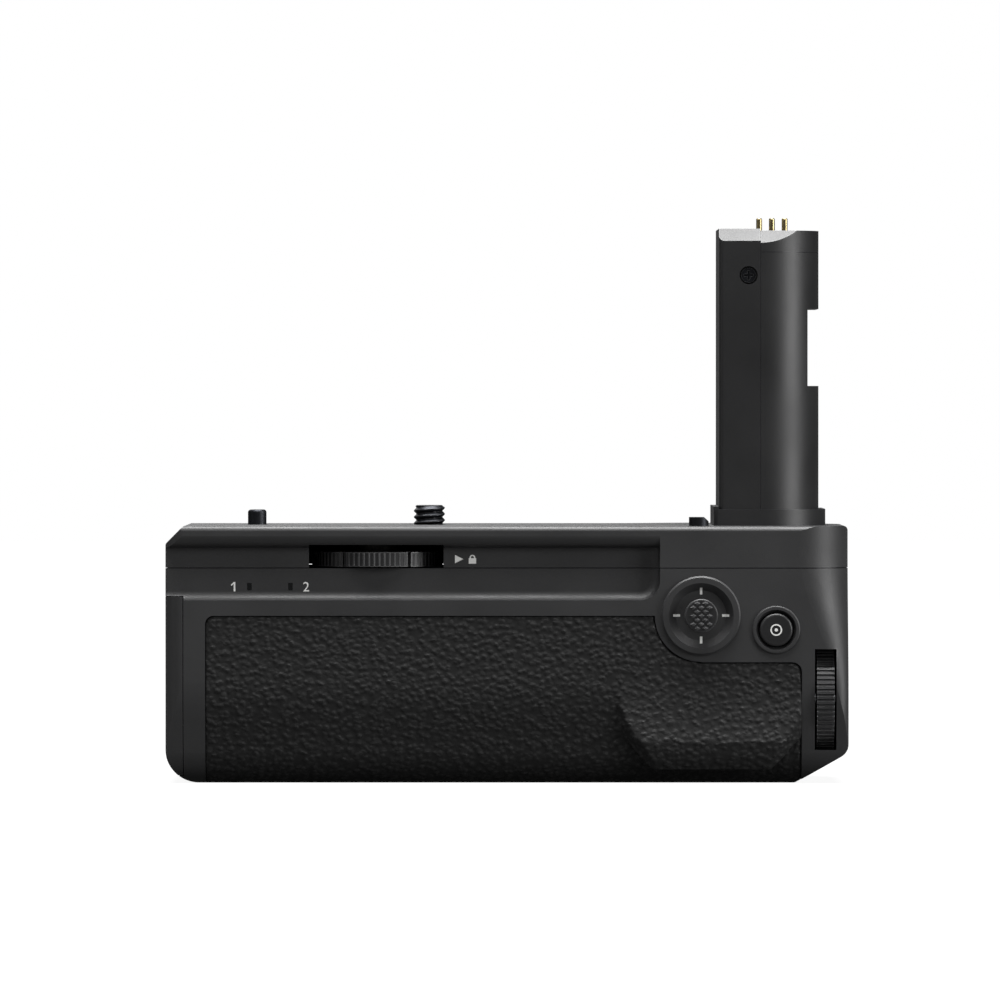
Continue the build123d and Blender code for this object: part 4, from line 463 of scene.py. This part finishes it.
def pebbledRubber(name):
    # moulded rubber skin: soft dark lumps with a dull sheen, the ground between them painted
    # darker as shade in the creases
    look = pebbleLook
    material, tree, shader = newMaterial(name, {"IOR": 1.52, "Specular IOR Level": 0.36})
    place = objectPlace(tree)
    top = pebbleField(tree, place)
    pores = addNode(tree, "ShaderNodeTexNoise", {"Scale": 1 / look["pore"], "Detail": 2.0},
                    {"Vector": place})
    cloud = addNode(tree, "ShaderNodeTexNoise", {"Scale": 1 / look["cloud"], "Detail": 2.0},
                    {"Vector": place})
    tone = addNode(tree, "ShaderNodeMix",
                   {"data_type": "RGBA", 6: linear("#151515"), 7: linear("#1b1b1b")},
                   {0: cloud.outputs[0]})
    # the ground between lumps painted near-black: painted shade in the creases
    colour = addNode(tree, "ShaderNodeMix", {"data_type": "RGBA", 6: linear("#080808")},
                     {0: top, 7: tone.outputs[2]})
    rough = addNode(tree, "ShaderNodeMapRange", {"To Min": 0.8, "To Max": 0.42},
                    {"Value": top})
    height = addNode(tree, "ShaderNodeMath", {"operation": "MULTIPLY_ADD", 1: look["poreShare"]},
                     {0: pores.outputs[0], 2: top})
    bump = addNode(tree, "ShaderNodeBump", {"Strength": 0.65, "Distance": look["bumpDepth"]},
                   {"Height": height.outputs[0]})
    feed(tree, shader, {"Base Color": colour.outputs[2], "Roughness": rough.outputs[0],
                        "Normal": bump.outputs[0]})
    return material


sealLook = {"pore": 0.15 * mm, "poreDepth": 0.05 * mm, "voxel": 0.22 * mm, "rounds": 4}


def softRubber(name):
    # extruded closed-cell rubber: dull black with fine pores
    material, tree, shader = newMaterial(name, {"Specular IOR Level": 0.25})
    pores = addNode(tree, "ShaderNodeTexVoronoi", {"Scale": 1 / sealLook["pore"]},
                    {"Vector": objectPlace(tree)}).outputs["Distance"]
    colour = addNode(tree, "ShaderNodeMix",
                     {"data_type": "RGBA", 6: linear("#0e0e0e"), 7: linear("#1a1a1a")},
                     {0: pores})
    rough = addNode(tree, "ShaderNodeMapRange", {"To Min": 0.75, "To Max": 0.9},
                    {"Value": pores})
    bump = addNode(tree, "ShaderNodeBump",
                   {"Strength": 0.4, "Distance": sealLook["poreDepth"]}, {"Height": pores})
    feed(tree, shader, {"Base Color": colour.outputs[2], "Roughness": rough.outputs[0],
                        "Normal": bump.outputs[0]})
    return material


finishes = {
    "body_plastic": mouldedPlastic("sparkTexturedPolycarbonate", sparkTexture),
    "stem_plastic": mouldedPlastic("fineTexturedPolycarbonate", stemTexture),
    "chamber_plastic": mouldedPlastic("plainMouldedPolycarbonate", plainMould),
    "control_plastic": mouldedPlastic("mouldedAcetal", controlMould),
    "gloss_plastic": mouldedPlastic("polishedPolycarbonate", glossMould),
    "grey_plastic": mouldedPlastic("greyMouldedAcetal", greyMould),
    "skin_rubber": pebbledRubber("pebbledRubber"),
    "seal_rubber": softRubber("closedCellRubber"),
    "dark_steel": turnedMetal("blackOxideSteel", blackOxide),
    "bright_steel": turnedMetal("nickelPlatedSteel", nickelSteel),
    "gear_brass": turnedMetal("cutBrass", cutBrass),
    "gold_contact": turnedMetal("goldPlatedCopper", goldPlate),
    "plate_metal": paintedSteel("stovedBlackSteel"),
    "circuit_board": maskedBoard("solderMaskedBoard"),
    "lamp_lens": smoothFinish("smokedAcrylic", smokedAcrylic),
}
whiteInk = smoothFinish("padPrintedInk", epoxyInk)
for part in frame["record"]["subparts"]:
    mesh = cad[part["node"]].data
    mesh.materials.clear()
    mesh.materials.append(finishes[part["material_slot"]])
print("finishes made:", len(finishes) + 1)


# Rubber skins

def pebbleTree():
    # sinks the creases into the faces that look outwards
    tree, given = newGeometryTree("pebbledSkin", {
        "Outwards": "NodeSocketVector", "Depth": "NodeSocketFloat",
        "Material": "NodeSocketMaterial"})
    place = addNode(tree, "GeometryNodeInputPosition").outputs[0]
    normal = addNode(tree, "GeometryNodeInputNormal").outputs[0]
    top = pebbleField(tree, place)
    facing = addNode(tree, "ShaderNodeVectorMath", {"operation": "DOT_PRODUCT"},
                     {0: normal, 1: given["Outwards"]})
    shown = addNode(tree, "ShaderNodeMapRange", {"From Min": 0.3, "From Max": 0.7},
                    {"Value": facing.outputs["Value"]})
    sink = addNode(tree, "ShaderNodeMath", {"operation": "SUBTRACT", 1: 1.0}, {0: top})
    deep = addNode(tree, "ShaderNodeMath", {"operation": "MULTIPLY"},
                   {0: sink.outputs[0], 1: given["Depth"]})
    much = addNode(tree, "ShaderNodeMath", {"operation": "MULTIPLY"},
                   {0: deep.outputs[0], 1: shown.outputs[0]})
    offset = addNode(tree, "ShaderNodeVectorMath", {"operation": "SCALE"},
                     {0: normal, "Scale": much.outputs[0]})
    moved = addNode(tree, "GeometryNodeSetPosition",
                    links={"Geometry": given["Geometry"], "Offset": offset.outputs[0]})
    smooth = addNode(tree, "GeometryNodeSetShadeSmooth", links={0: moved.outputs[0]})
    endGeometryTree(tree, smooth.outputs[0], given["Material"])
    return tree


def remeshed(node, look):
    # a CAD soft solid as an even mesh, its edges eased by a few rounds of smoothing
    def change(worker):
        remesh = worker.modifiers.new("remesh", "REMESH")
        remesh.mode = "VOXEL"
        remesh.voxel_size = look["voxel"]
        ease = worker.modifiers.new("ease", "SMOOTH")
        ease.iterations = look["rounds"]
    return applied(mergedCopy(node), node + "Soft", change)


grain = pebbleTree()
for node, outwards in (("rear_skin", (0, -1, 0)), ("front_skin", (0, 1, 0))):
    mesh = grownBy(remeshed(node, pebbleLook), node + "Pebbled", grain, {
        "Outwards": outwards, "Depth": pebbleLook["depth"],
        "Material": finishes["skin_rubber"]})
    newPiece(node + "Pebbled", mesh, "root", [finishes["skin_rubber"]], [node])
    print(node, "pebbled:", len(mesh.polygons), "faces")

seal = remeshed("door_seal", sealLook)
seal.polygons.foreach_set("use_smooth", [True] * len(seal.polygons))
newPiece("doorSealSoft", seal, "door", [finishes["seal_rubber"]],
         ["door_seal"])
print("door seal rounded:", len(seal.polygons), "faces")


# Attachment wheel's knurl

knurlLook = {
    "ribsInSegment": 13, "segments": 6, "ribWidth": 0.62 * mm, "sides": 8,
    "proud": 0.12 * mm,           # how far a rib stands out of the rim
    "rimHeight": 2.95 * mm, "shorter": 0.35 * mm,
}


def knurlTree():
    # upright ribs round a rim, with none where a groove parts two segments
    tree, given = newGeometryTree("rimKnurl", {
        "Ribs": "NodeSocketInt", "Ribs In Segment": "NodeSocketInt",
        "Rim Radius": "NodeSocketFloat", "Rib Width": "NodeSocketFloat",
        "Rib Height": "NodeSocketFloat", "Proud": "NodeSocketFloat",
        "Centre": "NodeSocketVector", "Material": "NodeSocketMaterial"})
    half = addNode(tree, "ShaderNodeMath", {"operation": "MULTIPLY", 1: 0.5},
                   {0: given["Rib Width"]})
    inner = addNode(tree, "ShaderNodeMath", {"operation": "SUBTRACT"},
                    {0: given["Rim Radius"], 1: half.outputs[0]})
    ring = addNode(tree, "ShaderNodeMath", {"operation": "ADD"},
                   {0: inner.outputs[0], 1: given["Proud"]})
    circle = addNode(tree, "GeometryNodeMeshCircle",
                     links={"Vertices": given["Ribs"], "Radius": ring.outputs[0]})
    index = addNode(tree, "GeometryNodeInputIndex").outputs[0]
    turn = addNode(tree, "ShaderNodeMath", {"operation": "MODULO"},
                   {0: index, 1: given["Ribs In Segment"]})
    inGroove = addNode(tree, "FunctionNodeCompare", {"operation": "LESS_THAN", 1: 0.5},
                       {0: turn.outputs[0]})
    points = addNode(tree, "GeometryNodeDeleteGeometry", {"domain": "POINT"},
                     {"Geometry": circle.outputs[0], "Selection": inGroove.outputs[0]})
    rib = addNode(tree, "GeometryNodeMeshCylinder", {"Vertices": knurlLook["sides"]},
                  {"Radius": half.outputs[0], "Depth": given["Rib Height"]})
    ribs = addNode(tree, "GeometryNodeInstanceOnPoints",
                   links={"Points": points.outputs[0], "Instance": rib.outputs[0]})
    placed = addNode(tree, "GeometryNodeTransform",
                     links={"Geometry": ribs.outputs[0], "Translation": given["Centre"]})
    endGeometryTree(tree, placed.outputs[0], given["Material"])
    return tree


wheelLow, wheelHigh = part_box("attachment_wheel")
rimRadius = (wheelHigh.x - wheelLow.x) / 2
rimCentre = Vector(centreOf((wheelLow, wheelHigh)))
rimCentre.z = wheelLow.z + knurlLook["rimHeight"] / 2
mesh = grownBy(bpy.data.meshes.new("knurlStart"), "wheelKnurl", knurlTree(), {
    "Ribs": knurlLook["ribsInSegment"] * knurlLook["segments"],
    "Ribs In Segment": knurlLook["ribsInSegment"],
    "Rim Radius": rimRadius, "Rib Width": knurlLook["ribWidth"],
    "Rib Height": knurlLook["rimHeight"] - knurlLook["shorter"],
    "Proud": knurlLook["proud"], "Centre": rimCentre,
    "Material": finishes["control_plastic"]})
newPiece("wheelKnurl", mesh, "wheel", [finishes["control_plastic"]])
print("wheel knurled:", len(mesh.polygons), "faces")


# Camera screw with its helical thread

threadLook = {
    "pitch": 1.27 * mm, "depth": 0.52 * mm, "around": 48, "rowsPerTurn": 18,
    "crest": 0.16,                # the flat on a thread's top, as a share of half a turn
    "runIn": 0.5, "runOut": 0.35, # turns over which the thread rises and fades
    "belowDeck": 1 * mm,          # where it starts
    "shankIn": 0.275 * mm, "pivot": 2.0 * mm, "tipIn": 0.1 * mm,
}


def threadedScrew():
    # rings of points up the screw, each point pushed out where the thread passes it
    look = threadLook
    low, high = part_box("attachment_screw")
    screwX, screwY, _ = centreOf((low, high))
    axis = Vector((screwX, screwY, 0))
    radius = (high.x - low.x) / 2
    root = radius - look["depth"]
    shank = radius - look["shankIn"]
    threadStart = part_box("screw_bush")[1].z - look["belowDeck"]
    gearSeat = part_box("screw_gear")[0].z
    rows = [(low.z, 0, 0), (low.z, look["pivot"], 0), (gearSeat, look["pivot"], 0),
            (gearSeat, shank, 0), (threadStart, shank, 0)]
    step = look["pitch"] / look["rowsPerTurn"]
    for i in range(1, int((high.z - threadStart) / step) + 1):
        z = threadStart + i * step
        fade = min(1, (z - threadStart) / (look["pitch"] * look["runIn"]))
        fade = min(fade, max(0, (high.z - z) / (look["pitch"] * look["runOut"])))
        rows.append((z, root, fade))
    rows += [(high.z, root - look["tipIn"], 0), (high.z, 0, 0)]
    bm = bmesh.new()
    around = look["around"]
    rings = []
    for z, r, amount in rows:
        if r == 0:
            rings.append([bm.verts.new(axis + Vector((0, 0, z)))])
            continue
        ring = []
        for k in range(around):
            turn = k / around
            phase = ((z - threadStart) / look["pitch"] - turn) % 1
            rise = min(1, max(0, (1 - abs(2 * phase - 1)) / (1 - look["crest"])))
            reach = r + amount * rise * look["depth"]
            angle = 2 * math.pi * turn
            point = Vector((reach * math.cos(angle), reach * math.sin(angle), z))
            ring.append(bm.verts.new(axis + point))
        rings.append(ring)
    for lower, upper in zip(rings, rings[1:]):
        for k in range(around):
            corners = [lower[k % len(lower)], lower[(k + 1) % len(lower)],
                       upper[(k + 1) % len(upper)], upper[k % len(upper)]]
            bm.faces.new(list(dict.fromkeys(corners)))
    return meshFrom(bm, "threadedScrew")


newPiece("threadedScrew", threadedScrew(), "camera_screw",
         [finishes["dark_steel"]], ["attachment_screw"])
print("camera screw threaded")


# Printed marks

def surfaceOf(*names):
    # the named nodes' faces, to set a mark down on
    bm = bmesh.new()
    for name in names:
        bm.from_mesh(cad[name].data)
    tree = BVHTree.FromBMesh(bm)
    bm.free()
    return tree


inkLook = {"proud": 0.03 * mm, "sunk": 0.02 * mm, "startBehind": 10 * mm}


def printed(name, outline, surface, body):
    # outline: faces as lists of (x, z), laid on the surface as seen from behind the grip
    bm = bmesh.new()
    cache = {}
    towards = Vector((0, 1, 0))
    startY = cadBox[0][1] - inkLook["startBehind"]

    def corner(x, z, depth):
        key = (round(x, 7), round(z, 7), depth)
        if key not in cache:
            hit = surface.ray_cast(Vector((x, startY, z)), towards)[0]
            cache[key] = bm.verts.new((x, hit.y + depth, z))
        return cache[key]

    edges = {}
    for face in outline:
        bm.faces.new([corner(x, z, -inkLook["proud"]) for x, z in face])
        bm.faces.new([corner(x, z, inkLook["sunk"]) for x, z in reversed(face)])
        for a, b in zip(face, face[1:] + face[:1]):
            pair = frozenset(((round(a[0], 7), round(a[1], 7)),
                              (round(b[0], 7), round(b[1], 7))))
            edges.setdefault(pair, []).append((a, b))
    for sides in edges.values():
        if len(sides) == 1:
            (ax, az), (bx, bz) = sides[0]
            bm.faces.new([
                corner(ax, az, -inkLook["proud"]), corner(ax, az, inkLook["sunk"]),
                corner(bx, bz, inkLook["sunk"]), corner(bx, bz, -inkLook["proud"])])
    newPiece(name, meshFrom(bm, name), body, [whiteInk])


def strip(x0, z0, x1, z1, width, steps=1):
    # a straight band from one point to the other
    start, end = Vector((x0, z0)), Vector((x1, z1))
    along = end - start
    side = Vector((-along.y, along.x)).normalized() * width / 2
    faces = []
    for i in range(steps):
        a = start + along * i / steps
        b = start + along * (i + 1) / steps
        faces.append([tuple(a - side), tuple(b - side), tuple(b + side), tuple(a + side)])
    return faces


def arc(cx, cz, radius, width, start, end, steps):
    # a band round a centre, from one angle in degrees to another
    faces = []
    for i in range(steps):
        a, b = (math.radians(start + (end - start) * (i + j) / steps) for j in (0, 1))
        inner, outer = radius - width / 2, radius + width / 2
        faces.append([(cx + r * math.cos(t), cz + r * math.sin(t)) for r, t in
                      ((inner, a), (inner, b), (outer, b), (outer, a))])
    return faces


# four ticks round the joystick
tickLook = {"from": 4.25 * mm, "to": 5.65 * mm, "width": 0.5 * mm, "steps": 6}
stickX, _, stickZ = centreOf(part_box("joystick_bezel"))
bezelFace = surfaceOf("joystick_bezel")
for label, dx, dz in (("Right", 1, 0), ("Up", 0, 1), ("Left", -1, 0), ("Down", 0, -1)):
    band = strip(stickX + dx * tickLook["from"], stickZ + dz * tickLook["from"],
                 stickX + dx * tickLook["to"], stickZ + dz * tickLook["to"],
                 tickLook["width"], tickLook["steps"])
    printed("stickTick" + label, band, bezelFace, "root")

# plain numerals beside the two lamps
numeralLook = {
    "height": 1.9 * mm, "gap": 2.3 * mm, "line": 0.34 * mm, "flag": 0.5 * mm,
    "flagSlant": 0.04 * mm,
}
recessFloor = surfaceOf("rear_cover", "top_cover")


def textFaces(text, height, cx, cz):
    # a numeral's flat faces as lists of (x, z), centred on a point
    curve = bpy.data.curves.new("numeral", "FONT")
    curve.body = text
    mesh = evaluated(bpy.data.objects.new("numeralWorker", curve))
    across = [v.co.x for v in mesh.vertices]
    up = [v.co.y for v in mesh.vertices]
    scale = height / (max(up) - min(up))
    midX, midY = (max(across) + min(across)) / 2, (max(up) + min(up)) / 2
    return [[(cx + (across[i] - midX) * scale, cz + (up[i] - midY) * scale)
             for i in face.vertices] for face in mesh.polygons]


lampLow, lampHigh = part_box("lamp_lenses")
lampZ = (lampLow.z + lampHigh.z) / 2
tall, line, flag = (numeralLook[key] for key in ("height", "line", "flag"))
oneX = lampLow.x - numeralLook["gap"] + line / 2
oneTop = lampZ + tall / 2
flagX = oneX - line / 2
printed("numeralOne",
        strip(oneX, lampZ - tall / 2, oneX, oneTop, line)
        + [[(flagX, oneTop), (flagX - flag, oneTop - flag), (flagX - flag, oneTop - flag - line),
            (flagX, oneTop - line - numeralLook["flagSlant"])]],
        recessFloor, "root")
printed("numeralTwo", textFaces("2", tall, lampHigh.x + numeralLook["gap"], lampZ),
        recessFloor, "root")

# an arrow and a plain padlock beside the wheel show which way fastens the grip
signLook = {
    "up": 1.55 * mm, "arrow": 1.7 * mm, "arrowGap": 3.5 * mm,
    "lockGap": 6.2 * mm, "lockWidth": 1.5 * mm,
    # shares of the padlock's width
    "bodyFoot": -0.62, "bodyTop": 0.12, "bow": 0.2, "leg": 0.3, "line": 0.17,
}
signZ = wheelLow.z + signLook["up"]
arrowX = rimCentre.x + rimRadius + signLook["arrowGap"]
half = signLook["arrow"] / 2
printed("lockArrow",
        [[(arrowX - half, signZ - half), (arrowX + half, signZ), (arrowX - half, signZ + half)]],
        recessFloor, "root")
lockX = rimCentre.x + rimRadius + signLook["lockGap"]
wide = signLook["lockWidth"]
footZ, topZ, bowZ = (signZ + wide * signLook[key] for key in ("bodyFoot", "bodyTop", "bow"))
leg, line = wide * signLook["leg"], wide * signLook["line"]
printed("lockSign",
        strip(lockX, footZ, lockX, topZ, wide)
        + arc(lockX, bowZ, leg, line, 0, 180, 10)
        + strip(lockX - leg, topZ, lockX - leg, bowZ, line)
        + strip(lockX + leg, topZ, lockX + leg, bowZ, line),
        recessFloor, "root")

# a ring and a dot on the round button
focusLook = {"ring": 1.05 * mm, "line": 0.28 * mm, "steps": 32, "dot": 0.34 * mm, "sides": 16}
focusX, _, focusZ = centreOf(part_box("focus_button"))
dot = [(focusX + focusLook["dot"] * math.cos(t), focusZ + focusLook["dot"] * math.sin(t))
       for t in (2 * math.pi * i / focusLook["sides"] for i in range(focusLook["sides"]))]
printed("focusSign",
        arc(focusX, focusZ, focusLook["ring"], focusLook["line"], 0, 360, focusLook["steps"])
        + [dot], surfaceOf("focus_button"), "focus_key")
print("marks printed")


# Studio

studio = {
    "distance": 2400 * mm, "raised": 0.5, "width": 202.4 * mm, "x": -1.42 * mm,
    "z": 57.5 * mm, "sensor": 36, "aim": 50 * mm,
    "paperLow": "#484848", "paperHigh": "#4e4e4e", "fibre": 2.5 * mm,
    "floor": 8.0, "floorNear": 0.92, "floorFar": 1.0, "shadowReach": 0.25, "whiteFrom": 0.7,
    "fill": 0.12,                 # the room's light on everything that is not a mirror
    "mirrorNear": 0.05,           # how bright the floor is in a reflection
    "mirrorRoom": 0.05,           # the room in a reflection
    "mirrorBehind": 0.15,         # and the wall straight behind the object
    "behindFrom": 0.9, "behindTo": 0.99,
}
lamps = {  # place, width and height in metres, then watts
    "topSoftbox": ((0, -0.1, 1.1), 0.9, 0.7, 42),
    "rightSoftbox": ((1.2, -0.55, 0.35), 0.5, 0.9, 16),
    "leftSoftbox": ((-1.3, -0.5, 0.4), 0.4, 0.9, 1.0),
    "frontFill": ((-0.3, -1.45, 1.1), 1.2, 0.7, 5),
    "backFill": ((-0.5, 1.5, 0.9), 1.2, 0.7, 6),
}


def pointAt(obj, place, target):
    obj.location = place
    obj.rotation_euler = (target - place).to_track_quat("-Z", "Y").to_euler()


def photoCamera():
    # long lens, just above the horizon, framed on the whole grip
    data = bpy.data.cameras.new("photoCamera")
    data.sensor_width = studio["sensor"]
    data.lens = data.sensor_width * studio["distance"] / studio["width"]
    camera = bpy.data.objects.new("photoCamera", data)
    bpy.context.scene.collection.objects.link(camera)
    tilt = math.radians(studio["raised"])
    target = Vector((studio["x"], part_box("rear_cover")[0].y, studio["z"]))
    away = studio["distance"] * Vector((0, -math.cos(tilt), math.sin(tilt)))
    pointAt(camera, target + away, target)
    bpy.context.scene.camera = camera


def softbox(name, place, width, height, watts):
    # a rectangular lamp that looks at the object and isn't seen itself
    data = bpy.data.lights.new(name, "AREA")
    data.shape = "RECTANGLE"
    data.size = width
    data.size_y = height
    data.energy = watts
    lamp = bpy.data.objects.new(name, data)
    bpy.context.scene.collection.objects.link(lamp)
    pointAt(lamp, Vector(place), Vector((0, 0, studio["aim"])))
    lamp.visible_camera = False


def floorMaterial():
    # grey seamless paper that takes the shadow, white to the camera, faint in reflections
    material = bpy.data.materials.new("paperFloor")
    material.use_nodes = True
    tree = material.node_tree
    tree.nodes.clear()
    path = addNode(tree, "ShaderNodeLightPath").outputs
    place = objectPlace(tree)
    fibre = addNode(tree, "ShaderNodeTexNoise", {"Scale": 1 / studio["fibre"]},
                    {"Vector": place})
    colour = addNode(tree, "ShaderNodeMix",
                     {"data_type": "RGBA", 6: linear(studio["paperLow"]),
                      7: linear(studio["paperHigh"])},
                     {0: fibre.outputs[0]})
    paper = addNode(tree, "ShaderNodeBsdfDiffuse", links={"Color": colour.outputs[2]})
    shiny = addNode(tree, "ShaderNodeMath", {"operation": "MAXIMUM"},
                    {0: path["Is Glossy Ray"], 1: path["Is Transmission Ray"]})
    dim = addNode(tree, "ShaderNodeMath", {"operation": "MULTIPLY", 1: studio["mirrorNear"]},
                  {0: shiny.outputs[0]})
    seen = addNode(tree, "ShaderNodeMath", {"operation": "MAXIMUM"},
                   {0: path["Is Camera Ray"], 1: dim.outputs[0]})
    away = addNode(tree, "ShaderNodeVectorMath", {"operation": "LENGTH"}, {0: place})
    white = addNode(tree, "ShaderNodeMapRange",
                    {"interpolation_type": "SMOOTHSTEP", "From Min": studio["shadowReach"],
                     "From Max": studio["whiteFrom"], "To Min": studio["floorNear"],
                     "To Max": studio["floorFar"]},
                    {"Value": away.outputs["Value"]})
    lift = addNode(tree, "ShaderNodeMath", {"operation": "MULTIPLY"},
                   {0: seen.outputs[0], 1: white.outputs[0]})
    glow = addNode(tree, "ShaderNodeEmission", {"Color": (1, 1, 1, 1)},
                   {"Strength": lift.outputs[0]})
    both = addNode(tree, "ShaderNodeAddShader", links={0: paper.outputs[0], 1: glow.outputs[0]})
    addNode(tree, "ShaderNodeOutputMaterial", links={"Surface": both.outputs[0]})
    return material


def studioWorld():
    # white to the camera, faint in reflections, a plain grey fill for everything else
    world = bpy.data.worlds.new("studioWorld")
    world.use_nodes = True
    tree = world.node_tree
    tree.nodes.clear()
    path = addNode(tree, "ShaderNodeLightPath").outputs
    direction = addNode(tree, "ShaderNodeTexCoord").outputs["Generated"]
    split = addNode(tree, "ShaderNodeSeparateXYZ", links={0: direction})
    behind = addNode(tree, "ShaderNodeMapRange",
                     {"From Min": studio["behindFrom"], "From Max": studio["behindTo"],
                      "To Min": studio["mirrorRoom"], "To Max": studio["mirrorBehind"]},
                     {"Value": split.outputs["Y"]})
    shiny = addNode(tree, "ShaderNodeMath", {"operation": "MAXIMUM"},
                    {0: path["Is Glossy Ray"], 1: path["Is Transmission Ray"]})
    mirrored = addNode(tree, "ShaderNodeMath", {"operation": "MULTIPLY"},
                       {0: shiny.outputs[0], 1: behind.outputs[0]})
    seen = addNode(tree, "ShaderNodeMath", {"operation": "MAXIMUM"},
                   {0: path["Is Camera Ray"], 1: mirrored.outputs[0]})
    diffuse = addNode(tree, "ShaderNodeMath", {"operation": "MULTIPLY", 1: studio["fill"]},
                      {0: path["Is Diffuse Ray"]})
    level = addNode(tree, "ShaderNodeMath", {"operation": "MAXIMUM"},
                    {0: seen.outputs[0], 1: diffuse.outputs[0]})
    sky = addNode(tree, "ShaderNodeBackground", {"Color": (1, 1, 1, 1)},
                  {"Strength": level.outputs[0]})
    addNode(tree, "ShaderNodeOutputWorld", links={"Surface": sky.outputs[0]})
    bpy.context.scene.world = world


bpy.ops.mesh.primitive_plane_add(size=studio["floor"], location=(0, 0, 0))
floor = bpy.context.object
floor.name = "paperFloor"
floor.data.materials.append(floorMaterial())
for name, (place, width, height, watts) in lamps.items():
    softbox(name, place, width, height, watts)
photoCamera()
studioWorld()
bpy.context.scene.view_settings.view_transform = "Standard"
print("studio set")
